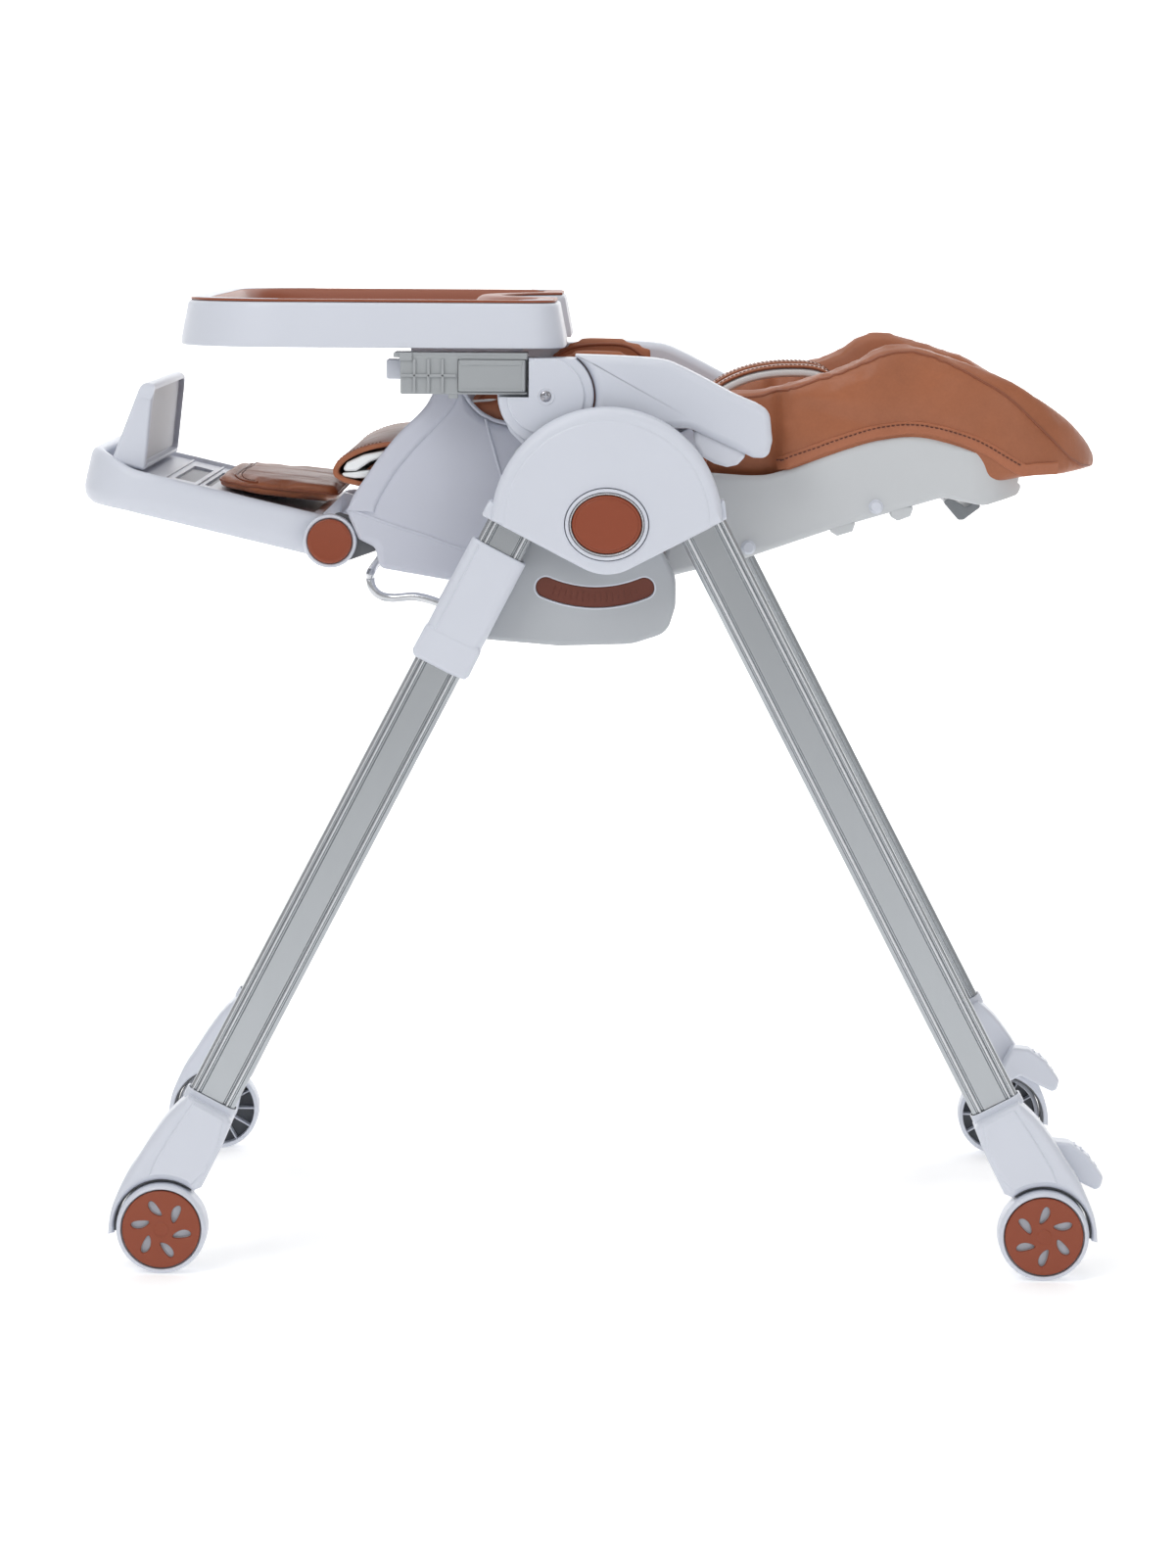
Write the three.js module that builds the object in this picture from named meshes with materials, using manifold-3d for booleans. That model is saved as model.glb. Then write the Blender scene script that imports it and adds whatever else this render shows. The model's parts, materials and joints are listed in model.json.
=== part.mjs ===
// A folding baby high chair: open A-frame on four wheels, a seat carriage that slides on the front
// legs, a reclining backrest, a hinged footrest and a sliding tray. Millimetres, +Z up.
// X runs across the chair, +X is the sitter's left, and the sitter looks along -Y.
import * as THREE from 'three';
import { mergeVertices } from 'three/addons/utils/BufferGeometryUtils.js';
import Module from 'manifold-3d';

const wasm = await Module();
wasm.setup();

// ---------------------------------------------------------------- driving dimensions
const RADIAN = Math.PI / 180;
const GAP = 0.4; // clearance between pieces that touch
const CENTRE_SHIFT = 14.5; // the folding axis lies this far behind the middle of the footprint

// frame
const FOLD_Z = 647; // height of the folding axis, which lies on Y = 0
const LEG_TILT = 27.4 * RADIAN; // each leg from the vertical
const LEG_OFFSET = 70; // leg centreline from the folding axis
const LEG_X = 269; // middle of a leg tube
const LEG_WIDTH = 42;
const LEG_DEPTH = 20;
const LEG_WALL = 2.2;
const LEG_TOP = 8; // measured down the leg from the foot of the axis perpendicular
const LEG_BOTTOM = 632;
const FOOT_INNER_X = 252;
const FOOT_OUTER_X = 296;
const CROSSBAR_RADIUS = 13;
const CROSSBAR_ALONG = 628; // down the leg
const SOCKET_DEPTH = 6.4; // of the crossbar in each foot

// wheels
const WHEEL_Y = 379;
const WHEEL_RADIUS = 39;
const WHEEL_INNER_X = 274;
const WHEEL_OUTER_X = 300;
const WHEEL_Z = WHEEL_RADIUS;
const AXLE_RADIUS = 4;
const CAP_RADIUS = 33.6;
const PEDAL_PIVOT = [384, 92];
const PEDAL_PIN = 4;

// hub
const HUB_RADIUS = 98;
const HUB_LOBE = 42.5; // lobe round the fold button, also the leg sockets' mouth down the leg
const HUB_FACE_X = 294;
const HUB_PLATE_X = 283; // inner side of the face plate
const HUB_BACK_X = 255.2;
const BUTTON_Y = 31; // half axes of the oval fold button
const BUTTON_Z = 26;
const HUB_PIN = 9;

// seat carriage
const BRACKET_INNER_X = 247;
const BRACKET_OUTER_X = 254.5;
const SLEEVE_TOP = 63; // down the leg
const SLEEVE_BOTTOM = 176;
const SEAT_HALF = 195;
const SEAT_WALL = 4;
const ARM_PIVOT = [-53, 753];
const ARM_DISC = 41;
const ARM_INNER_X = 205;
const ARM_OUTER_X = 246;
const TRIGGER_HALF = 8.4; // half the width of the curved trigger

// backrest
const BACK_HALF = 186;
const BACK_WALL = 4;

// footrest, in its own frame: along from the pivot, and up from that line
const FOOTREST_PIVOT = [-241, 624];
const FOOTREST_RISE = 13.1 * RADIAN;
const FOOTREST_HALF = 172;
const FOOTREST_LENGTH = 225;
const FOOTREST_LOW = -18;
const FOOTREST_HIGH = 19;
const FOOTREST_CAP = 20.4;
const FOOTREST_PIN = 8;

// tray
const TRAY_HALF = 246;
const TRAY_FRONT = -372;
const TRAY_BACK = -37;
const TRAY_BOTTOM = 793;
const TRAY_TOP = 832;
const TRAY_RIM = 28; // from the tray's edge to the edge of its pan
const PAN_FLOOR = 818;
const RAIL_OUTER_X = 247;
const RAIL_INNER_X = 228;

// ---------------------------------------------------------------- materials
function plastic(color, roughness = 0.4) {
  return new THREE.MeshStandardMaterial({ color, roughness, metalness: 0 });
}
const finishes = {
  white: () => plastic('#dfe1e8', 0.3),
  grey: () => plastic('#b7bac4', 0.4),
  bracket: () => plastic('#a9aeb2', 0.4),
  darkGrey: () => plastic('#6c7074', 0.5),
  brown: () => plastic('#8a4d38', 0.5),
  leather: () => plastic('#96684a', 0.55),
  webbing: () => plastic('#d8e6e0', 0.8),
  aluminium: () => new THREE.MeshStandardMaterial({ color: '#a8aeb2', roughness: 0.35, metalness: 0.9 }),
};

// ---------------------------------------------------------------- solids from three.js geometry
function solid(geometry) {
  const plain = geometry.clone();
  plain.deleteAttribute('normal');
  plain.deleteAttribute('uv');
  const merged = mergeVertices(plain, 1e-4);
  const index = merged.index.array;
  const kept = [];
  for (let i = 0; i < index.length; i += 3) {
    const [a, b, c] = [index[i], index[i + 1], index[i + 2]];
    if (a !== b && b !== c && c !== a) kept.push(a, b, c);
  }
  return new wasm.Manifold(new wasm.Mesh({
    numProp: 3,
    vertProperties: new Float32Array(merged.attributes.position.array),
    triVerts: new Uint32Array(kept),
  }));
}

function geometryOf(body) {
  const mesh = body.getMesh();
  const geometry = new THREE.BufferGeometry();
  geometry.setAttribute('position', new THREE.BufferAttribute(mesh.vertProperties, 3));
  geometry.setIndex(new THREE.BufferAttribute(mesh.triVerts, 1));
  geometry.computeVertexNormals();
  return geometry;
}

const join = (first, ...rest) => rest.reduce((sum, next) => sum.add(next), first);
const cut = (first, ...rest) => rest.reduce((left, next) => left.subtract(next), first);

// Moves a geometry into the axes given, turning its faces over if the axes are left-handed.
function inAxes(geometry, u, v, w, origin = [0, 0, 0]) {
  const matrix = new THREE.Matrix4().makeBasis(
    new THREE.Vector3(...u), new THREE.Vector3(...v), new THREE.Vector3(...w));
  matrix.setPosition(...origin);
  const moved = geometry.index ? geometry.toNonIndexed() : geometry.clone();
  moved.applyMatrix4(matrix);
  if (matrix.determinant() < 0) {
    const position = moved.attributes.position;
    for (let i = 0; i < position.count; i += 3) {
      const [x, y, z] = [position.getX(i), position.getY(i), position.getZ(i)];
      position.setXYZ(i, position.getX(i + 1), position.getY(i + 1), position.getZ(i + 1));
      position.setXYZ(i + 1, x, y, z);
    }
  }
  return moved;
}

function prism(shape, depth, bevel = 0, curveSegments = 5) {
  const geometry = new THREE.ExtrudeGeometry(shape, {
    depth: depth - 2 * bevel,
    bevelEnabled: bevel > 0,
    bevelThickness: bevel,
    bevelSize: bevel,
    bevelOffset: -bevel,
    bevelSegments: 1,
    curveSegments,
  });
  return geometry.translate(0, 0, bevel);
}

// A shape drawn in Y and Z, thick from x0 to x1.
function acrossX(shape, x0, x1, bevel = 0, curveSegments = 5) {
  const geometry = prism(shape, x1 - x0, bevel, curveSegments);
  return solid(inAxes(geometry, [0, 1, 0], [0, 0, 1], [1, 0, 0], [x0, 0, 0]));
}

// A shape drawn in X and Y, thick from z0 to z1.
function upZ(shape, z0, z1, bevel = 0, curveSegments = 5) {
  return solid(prism(shape, z1 - z0, bevel, curveSegments).translate(0, 0, z0));
}

function polygon(points) {
  return new THREE.Shape(points.map(([a, b]) => new THREE.Vector2(a, b)));
}

// A closed outline, straight between its points but with every corner rounded by the radius given.
function rounded(points, radius) {
  const shape = new THREE.Shape();
  points.forEach((point, i) => {
    const corner = new THREE.Vector2(...point);
    const before = new THREE.Vector2(...points[(i + points.length - 1) % points.length]).sub(corner);
    const after = new THREE.Vector2(...points[(i + 1) % points.length]).sub(corner);
    const reach = Math.min(radius, before.length() / 2.05, after.length() / 2.05);
    const enter = before.setLength(reach).add(corner);
    const leave = after.setLength(reach).add(corner);
    if (i === 0) shape.moveTo(enter.x, enter.y);
    else shape.lineTo(enter.x, enter.y);
    shape.quadraticCurveTo(corner.x, corner.y, leave.x, leave.y);
  });
  shape.closePath();
  return shape;
}

function disc(radius, y = 0, z = 0) {
  return new THREE.Shape().absarc(y, z, radius, 0, 2 * Math.PI);
}

function rodX(radius, y, z, x0, x1, segments = 7) {
  return acrossX(disc(radius, y, z), x0, x1, 0, segments);
}

function box(x0, x1, y0, y1, z0, z1) {
  const geometry = new THREE.BoxGeometry(x1 - x0, y1 - y0, z1 - z0);
  return solid(geometry.translate((x0 + x1) / 2, (y0 + y1) / 2, (z0 + z1) / 2));
}

// A closed profile of [radius, x] turned about an axis that runs along X.
function turned(profile, y, z, segments = 20) {
  const points = [...profile, profile[0]].map(([r, x]) => new THREE.Vector2(r, x));
  const lathe = new THREE.LatheGeometry(points, segments);
  return solid(inAxes(lathe, [0, 0, 1], [1, 0, 0], [0, 1, 0], [0, y, z]));
}

// ---------------------------------------------------------------- the legs' own frame
// side is -1 for the front legs and +1 for the rear. across is the distance from the folding axis,
// along is the distance down the leg.
function legAxes(side) {
  const [c, s] = [Math.cos(LEG_TILT), Math.sin(LEG_TILT)];
  return { across: [0, side * c, s], along: [0, side * s, -c] };
}
function legPoint(side, across, along) {
  const axes = legAxes(side);
  return [
    across * axes.across[1] + along * axes.along[1],
    FOLD_Z + across * axes.across[2] + along * axes.along[2],
  ];
}
function flatOval(width, depth, radius) {
  const [w, d] = [width / 2, depth / 2];
  return rounded([[-w, -d], [w, -d], [w, d], [-w, d]], radius);
}
function alongLeg(side, shape, from, to, curveSegments = 3) {
  const axes = legAxes(side);
  const geometry = prism(shape, to - from, 0, curveSegments);
  const [y, z] = legPoint(side, LEG_OFFSET, from);
  return solid(inAxes(geometry, axes.across, [1, 0, 0], axes.along, [LEG_X, y, z]));
}
function legEnvelope(side, from, to) {
  return alongLeg(side, flatOval(LEG_WIDTH + 2 * GAP, LEG_DEPTH + 2 * GAP, 8), from, to);
}

function legTube(side) {
  const section = flatOval(LEG_WIDTH, LEG_DEPTH, 8);
  section.holes.push(flatOval(LEG_WIDTH - 2 * LEG_WALL, LEG_DEPTH - 2 * LEG_WALL, 6));
  return alongLeg(side, section, LEG_TOP, LEG_BOTTOM);
}

// ---------------------------------------------------------------- feet, wheels, brakes
function footOutline() {
  const wheelGap = 3;
  const arch = WHEEL_RADIUS + wheelGap;
  const shape = new THREE.Shape();
  shape.moveTo(-356, 154);
  shape.lineTo(-321, 136);
  shape.lineTo(-318, 130);
  shape.lineTo(-341, 84);
  shape.lineTo(-345, 72);
  shape.absarc(-WHEEL_Y, WHEEL_Z, arch, 46 * RADIAN, 172 * RADIAN);
  shape.lineTo(-425, 43);
  shape.quadraticCurveTo(-417, 76, -401, 99);
  shape.quadraticCurveTo(-388, 120, -356, 154);
  return shape;
}

function crossbarPlace(side) {
  return legPoint(side, LEG_OFFSET, CROSSBAR_ALONG - 26);
}

function foot(side) {
  const [barY, barZ] = crossbarPlace(-1);
  const web = rounded([[-397, 30], [-361, 30], [-350, 84], [-384, 96]], 14);
  let body = join(
    acrossX(footOutline(), FOOT_INNER_X, FOOT_OUTER_X, 1.5),
    acrossX(web, FOOT_INNER_X, WHEEL_INNER_X - 3, 0, 4),
    rodX(AXLE_RADIUS, -WHEEL_Y, WHEEL_Z, FOOT_INNER_X + 2, WHEEL_OUTER_X - 9),
  );
  body = cut(body, legEnvelope(-1, LEG_BOTTOM - 90, LEG_BOTTOM + GAP),
    rodX(CROSSBAR_RADIUS + GAP, barY, barZ, FOOT_INNER_X - 1, FOOT_INNER_X + SOCKET_DEPTH));
  if (side > 0) {
    body = cut(body.mirror([0, 1, 0]),
      rodX(PEDAL_PIN + GAP, ...PEDAL_PIVOT, FOOT_INNER_X - 1, FOOT_INNER_X + SOCKET_DEPTH));
  }
  return body;
}

function crossbar(side) {
  const [y, z] = crossbarPlace(side);
  const end = FOOT_INNER_X + SOCKET_DEPTH - GAP;
  return rodX(CROSSBAR_RADIUS, y, z, -end, end);
}

function wheel(side) {
  const rim = CAP_RADIUS + 3 * GAP;
  const web = [WHEEL_INNER_X + 14, WHEEL_OUTER_X - 6];
  const boss = 10;
  const profile = [
    [AXLE_RADIUS + GAP, WHEEL_INNER_X - 1], [boss, WHEEL_INNER_X - 1], [boss, web[0]], [rim, web[0]],
    [rim, WHEEL_INNER_X], [WHEEL_RADIUS - 2, WHEEL_INNER_X], [WHEEL_RADIUS, WHEEL_INNER_X + 3],
    [WHEEL_RADIUS, WHEEL_OUTER_X - 4], [WHEEL_RADIUS - 2, WHEEL_OUTER_X], [rim, WHEEL_OUTER_X],
    [rim, web[1]], [AXLE_RADIUS + GAP, web[1]],
  ];
  return turned(profile, side * WHEEL_Y, WHEEL_Z);
}

function wheelCap(side) {
  const shape = disc(CAP_RADIUS, 0, 0);
  const slots = 6;
  const reach = 19.5;
  const slant = 0.5;
  for (let i = 0; i < slots; i += 1) {
    const angle = (2 * Math.PI * i) / slots + 0.45;
    const [y, z] = [reach * Math.cos(angle), reach * Math.sin(angle)];
    const slot = new THREE.Path();
    slot.absellipse(y, z, 7, 3.3, 0, 2 * Math.PI, true, angle - slant);
    shape.holes.push(slot);
  }
  const thickness = 5;
  const cap = acrossX(shape, WHEEL_OUTER_X - thickness - 0.5, WHEEL_OUTER_X - 0.5);
  return cap.translate([0, side * WHEEL_Y, WHEEL_Z]);
}

function brakePedal() {
  const outline = rounded([
    [374, 84], [388, 113], [404, 111], [419, 101], [433, 82], [430, 69], [413, 77], [396, 86], [382, 78],
  ], 5);
  return join(
    acrossX(outline, FOOT_INNER_X - 26, FOOT_INNER_X - GAP, 0, 2),
    rodX(PEDAL_PIN, ...PEDAL_PIVOT, FOOT_INNER_X - 4, FOOT_INNER_X + SOCKET_DEPTH - 1),
  );
}

// ---------------------------------------------------------------- hubs
// The dome, cut straight across at the mouths of the two leg sockets, with the button's lobe below.
function hubOutline(radius) {
  const mouth = Math.acos(HUB_LOBE / radius) + LEG_TILT - Math.PI / 2;
  const shape = new THREE.Shape();
  shape.absarc(0, FOLD_Z, radius, mouth, Math.PI - mouth);
  shape.absarc(0, FOLD_Z, HUB_LOBE, -Math.PI / 2 - LEG_TILT, -Math.PI / 2 + LEG_TILT);
  shape.closePath();
  return shape;
}

function legBlock(side, acrossFrom, acrossTo, alongFrom, alongTo, x0, x1) {
  const corners = [
    [acrossFrom, alongFrom], [acrossTo, alongFrom], [acrossTo, alongTo], [acrossFrom, alongTo],
  ].map(([across, along]) => legPoint(side, across, along));
  return acrossX(polygon(side < 0 ? corners : corners.reverse()), x0, x1);
}

function hubCover() {
  const wall = 3.2;
  const plate = acrossX(hubOutline(HUB_RADIUS), HUB_PLATE_X, HUB_FACE_X, 4, 10);
  const rim = cut(
    acrossX(hubOutline(HUB_RADIUS - 0.5), HUB_BACK_X, HUB_PLATE_X + 5, 0, 10),
    rodX(HUB_RADIUS - wall, 0, FOLD_Z, HUB_BACK_X - 1, HUB_PLATE_X, 10),
    box(HUB_BACK_X - 1, HUB_PLATE_X, -60, 110, FOLD_Z - 110, FOLD_Z + 26),
  );
  const half = (LEG_WIDTH + 8) / 2;
  const [inner, outer] = [LEG_OFFSET - half, LEG_OFFSET + half];
  const socket = legBlock(-1, inner, outer, -30, HUB_LOBE, HUB_BACK_X, HUB_PLATE_X + 1)
    .intersect(acrossX(hubOutline(HUB_RADIUS - 0.5), HUB_BACK_X - 1, HUB_PLATE_X + 2, 0, 10));
  const oval = new THREE.Shape().absellipse(0, FOLD_Z, BUTTON_Y + GAP, BUTTON_Z + GAP, 0, 2 * Math.PI);
  return cut(join(plate, rim, socket),
    acrossX(oval, HUB_PLATE_X + 2, HUB_FACE_X + 1, 0, 7),
    legEnvelope(-1, LEG_TOP - GAP, HUB_LOBE + 40));
}

function foldButton() {
  const oval = new THREE.Shape().absellipse(0, FOLD_Z, BUTTON_Y, BUTTON_Z, 0, 2 * Math.PI);
  return acrossX(oval, HUB_FACE_X - 4.6, HUB_FACE_X + 0.8, 1.2, 7);
}

function rearHub() {
  const half = (LEG_WIDTH + 7) / 2;
  const mouth = 40;
  const disk = rodX(38, 0, FOLD_Z, HUB_BACK_X, HUB_PLATE_X - GAP, 12);
  const block = legBlock(1, 20, LEG_OFFSET + half, -22, mouth, HUB_BACK_X, HUB_PLATE_X - GAP)
    .intersect(rodX(HUB_RADIUS - 4.5, 0, FOLD_Z, HUB_BACK_X - 1, HUB_PLATE_X, 10));
  return cut(join(disk, block),
    rodX(HUB_PIN + GAP, 0, FOLD_Z, HUB_BACK_X - 1, HUB_PLATE_X + 1),
    legEnvelope(1, LEG_TOP - GAP, mouth + 10));
}

function hubAxle() {
  return rodX(HUB_PIN, 0, FOLD_Z, HUB_BACK_X, HUB_PLATE_X - GAP);
}

// ---------------------------------------------------------------- seat carriage
function sleeve() {
  const outer = flatOval(LEG_WIDTH + 9, LEG_DEPTH + 8, 9);
  return cut(alongLeg(-1, outer, SLEEVE_TOP, SLEEVE_BOTTOM),
    legEnvelope(-1, SLEEVE_TOP - 1, SLEEVE_BOTTOM + 1));
}

// The curved trigger's outline: a band of constant width along an arc.
function triggerOutline(half) {
  const [y, z, radius] = [-10, 690, 108];
  const [from, to] = [-Math.PI / 2 - 0.4, -Math.PI / 2 + 0.4];
  const endOf = (angle) => [y + radius * Math.cos(angle), z + radius * Math.sin(angle)];
  const shape = new THREE.Shape();
  shape.absarc(y, z, radius + half, from, to);
  shape.absarc(...endOf(to), half, to, to + Math.PI);
  shape.absarc(y, z, radius - half, to, from, true);
  shape.absarc(...endOf(from), half, from + Math.PI, from + 2 * Math.PI);
  return shape;
}

function sideBracket() {
  const outline = rounded([
    [-128, 552], [-103, 545], [-40, 540], [22, 542], [52, 552], [59, 575], [59, 600], [44, 630], [40, 700],
    [-20, 712], [-80, 712], [-84, 640],
  ], 14);
  const skirt = rounded([
    [-110, 549], [-40, 543], [22, 545], [49, 555], [55, 576], [54, 600], [-96, 600],
  ], 10);
  const body = join(
    acrossX(outline, BRACKET_INNER_X, BRACKET_OUTER_X, 0, 2),
    acrossX(skirt, BRACKET_INNER_X - 14, BRACKET_INNER_X + 1, 0, 2),
  );
  const slot = triggerOutline(TRIGGER_HALF + GAP);
  return cut(body, acrossX(slot, BRACKET_OUTER_X - 8, BRACKET_OUTER_X + 1, 0, 5));
}

function heightTrigger() {
  return acrossX(triggerOutline(TRIGGER_HALF), BRACKET_OUTER_X - 4, BRACKET_OUTER_X + 0.6, 0, 5);
}

function underSeatRod() {
  const radius = 3.3;
  const half = [[229, -99, 561], [212, -112, 560], [185, -140, 571], [170, -165, 579],
    [168, -190, 580], [166, -204, 588], [150, -206, 597]];
  const points = [...half, ...half.map(([x, y, z]) => [-x, y, z]).reverse()]
    .map((point) => new THREE.Vector3(...point));
  const route = new THREE.CatmullRomCurve3(points, false, 'centripetal');
  const section = new THREE.Shape().absarc(0, 0, radius, 0, 2 * Math.PI);
  return solid(new THREE.ExtrudeGeometry(section, { steps: 28, extrudePath: route, curveSegments: 3 }));
}

function seatShell() {
  const side = rounded([
    [-227, 651], [-209, 681], [-180, 719], [-157, 741], [-151, 757], [-126, 757], [-108, 733],
    [-86, 727], [-40, 722], [52, 700], [60, 640], [34, 600], [-60, 591], [-139, 591], [-197, 601],
    [-202, 619], [-216, 626],
  ], 9);
  const inside = polygon([[-245, 653], [-212, 642], [-150, 606], [80, 600], [80, 800], [-245, 800]]);
  const inner = SEAT_HALF - SEAT_WALL;
  const [py, pz] = FOOTREST_PIVOT;
  const lug = rounded([[py - 20, pz - 6], [py - 20, pz + 20], [py + 8, pz + 23], [-206, 636], [-196, 618],
    [py + 4, pz - 23], [py - 12, pz - 20]], 11);
  const lugs = [1, -1].map((hand) => {
    const [x0, x1] = [FOOTREST_HALF + 2, FOOTREST_HALF + 17];
    const plate = cut(acrossX(lug, x0, x1, 0, 2),
      rodX(FOOTREST_CAP + 2 * GAP, py, pz, x1 - 6, x1 + 1));
    return hand > 0 ? plate : plate.mirror([1, 0, 0]);
  });
  return join(cut(acrossX(side, -SEAT_HALF, SEAT_HALF, 0, 2), acrossX(inside, -inner, inner)), ...lugs);
}

function seatCushion() {
  const half = SEAT_HALF - SEAT_WALL - GAP;
  const pad = rounded([
    [-243, 668], [-242, 684], [-224, 699], [-183, 705], [-110, 688], [0, 668], [15, 656], [15, 606],
    [-148, 612], [-212, 648],
  ], 9);
  const wing = rounded([
    [-165, 690], [-126, 752], [-70, 770], [-38, 789], [20, 788], [30, 760], [30, 680], [0, 650], [-120, 650],
  ], 12);
  const thickness = 13;
  return join(
    acrossX(pad, -half, half, 0, 2),
    acrossX(wing, half - thickness, half, 3, 2),
    acrossX(wing, -half, thickness - half, 3, 2),
  );
}

function crotchStrap() {
  const outline = rounded([
    [-150, 703.5], [-150, 725], [-138, 738], [-100, 741], [-100, 733], [-132, 728], [-140, 718],
    [-140, 702],
  ], 4);
  return acrossX(outline, -17, 17, 0, 2);
}

// ---------------------------------------------------------------- armrests and tray carrier
function armHub() {
  const [y, z] = ARM_PIVOT;
  const ceiling = TRAY_BOTTOM - 8;
  const body = join(
    rodX(ARM_DISC, y, z, SEAT_HALF + GAP, BRACKET_INNER_X - GAP, 10),
    rodX(ARM_DISC - 8, y, z, BRACKET_INNER_X - 2, BRACKET_OUTER_X - 5.6, 10),
    box(ARM_INNER_X + 4, ARM_OUTER_X - 20, -190, y, 766, ceiling - 2),
  );
  const railBay = box(ARM_INNER_X + 21.5, BRACKET_OUTER_X, y - 60, y - 14.5, 752, 800);
  const screw = rodX(6.5, y, z, BRACKET_OUTER_X - 8, BRACKET_OUTER_X, 6);
  const above = box(150, 260, -200, 0, ceiling, 810);
  const below = box(150, 260, -200, 0, 700, 714);
  return cut(body, railBay, screw, above, below);
}

function armrest() {
  const [y, z] = ARM_PIVOT;
  const inner = ARM_DISC + 1;
  const shape = new THREE.Shape();
  shape.moveTo(-30, TRAY_BOTTOM - 5);
  shape.lineTo(14, 787);
  shape.quadraticCurveTo(50, 786, 75, 773);
  shape.lineTo(122, 750);
  shape.quadraticCurveTo(140, 741, 140, 726);
  shape.lineTo(140, 708);
  shape.quadraticCurveTo(137, 699, 126, 702);
  shape.lineTo(70, 726);
  shape.lineTo(10, 726);
  shape.lineTo(-22, 724);
  shape.absarc(y, z, inner, -41 * RADIAN, 54 * RADIAN);
  shape.closePath();
  const pocket = polygon([[71, 690], [120, 690], [120, 721], [92, 734], [71, 738]]);
  return cut(acrossX(shape, ARM_INNER_X, ARM_OUTER_X, 0, 5),
    acrossX(pocket, ARM_INNER_X + 7, ARM_OUTER_X - 7));
}

function armrestLever() {
  const outline = rounded([
    [73, 714], [80, 702], [91, 696], [102, 693], [111, 695], [118, 702], [117, 714], [92, 726], [74, 730],
  ], 4);
  return acrossX(outline, ARM_INNER_X + 8, ARM_OUTER_X - 8, 1.5, 2);
}

// ---------------------------------------------------------------- tray
function trayRail() {
  const roof = TRAY_BOTTOM - 6.5;
  const body = join(
    box(ARM_INNER_X - 1, RAIL_OUTER_X - 1, -183, -69, roof - GAP - 1, TRAY_BOTTOM + 20),
    box(RAIL_INNER_X, RAIL_OUTER_X, -177, -69, 754, roof),
    box(RAIL_OUTER_X - 3, RAIL_OUTER_X + 1.6, -178, -167, roof - 4, roof + 3),
  );
  const ribs = [-165, -153, -141]
    .map((y) => box(RAIL_OUTER_X - 1, RAIL_OUTER_X + 2, y - 1.2, y + 1.2, 755, 784));
  const shelf = box(RAIL_OUTER_X - 1, RAIL_OUTER_X + 2, -177, -129.4, 768.8, 771.2);
  const bay = box(RAIL_OUTER_X - 9, RAIL_OUTER_X + 4, -128, -70, 756, 784);
  const underside = box(ARM_INNER_X + 2, RAIL_INNER_X + 1, -190, -60, 740, roof);
  return cut(join(body, ...ribs, shelf), bay, underside, box(200, 260, -200, -30, 789.6, 830));
}

function trayRelease() {
  return box(RAIL_OUTER_X - 4.6, RAIL_OUTER_X + 4, -127.5, -70.5, 756.5, 783.5);
}

// The tray's plan: rounded corners and a hollow in the back edge for the sitter's chest.
function trayPlan(inset) {
  const [x, front, back] = [TRAY_HALF - inset, TRAY_FRONT + inset, TRAY_BACK - inset];
  const [frontCorner, backCorner] = [90 - inset, Math.max(40 - inset, 10)];
  const hollow = 120 + inset;
  const centreY = 30;
  const reach = Math.asin((centreY - back) / hollow);
  const shape = new THREE.Shape();
  shape.absarc(-x + frontCorner, front + frontCorner, frontCorner, Math.PI, 1.5 * Math.PI);
  shape.absarc(x - frontCorner, front + frontCorner, frontCorner, 1.5 * Math.PI, 2 * Math.PI);
  shape.absarc(x - backCorner, back - backCorner, backCorner, 0, 0.5 * Math.PI);
  shape.absarc(0, centreY, hollow, -reach, Math.PI + reach, true);
  shape.absarc(-x + backCorner, back - backCorner, backCorner, 0.5 * Math.PI, Math.PI);
  return shape;
}

function tray() {
  const draft = 7;
  const straight = 5;
  const body = solid(new THREE.ExtrudeGeometry(trayPlan(0), {
    depth: straight,
    bevelEnabled: true,
    bevelThickness: TRAY_TOP - TRAY_BOTTOM - straight,
    bevelSize: draft,
    bevelOffset: -draft,
    bevelSegments: 1,
    curveSegments: 5,
  }).translate(0, 0, TRAY_BOTTOM)).trimByPlane([0, 0, 1], TRAY_BOTTOM);
  const underside = upZ(trayPlan(11), TRAY_BOTTOM - 1, PAN_FLOOR - 5);
  const pan = upZ(trayPlan(TRAY_RIM), PAN_FLOOR, TRAY_TOP + 1);
  return cut(body, underside, pan);
}

function trayInsert() {
  const wall = 3;
  const lip = 4;
  return cut(
    join(
      upZ(trayPlan(9), TRAY_TOP + GAP, TRAY_TOP + lip),
      upZ(trayPlan(TRAY_RIM + GAP), PAN_FLOOR + GAP, TRAY_TOP + 1),
    ),
    upZ(trayPlan(TRAY_RIM + wall), PAN_FLOOR + wall, TRAY_TOP + lip + 1),
  );
}

// ---------------------------------------------------------------- backrest
function backPlan(half, head, corner) {
  const shape = new THREE.Shape();
  shape.moveTo(-half, 0);
  shape.lineTo(half, 0);
  shape.absarc(half - corner, head - corner, corner, 0, 0.5 * Math.PI);
  shape.absarc(-half + corner, head - corner, corner, 0.5 * Math.PI, Math.PI);
  shape.closePath();
  return upZ(shape, 560, 850);
}

// The line where the cover's hem meets the shell, from the seat end to the head end.
const hemLine = [[84, 686], [125, 684], [150, 688], [206, 708], [240, 717], [275, 718], [317, 706], [362, 681]];

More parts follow.
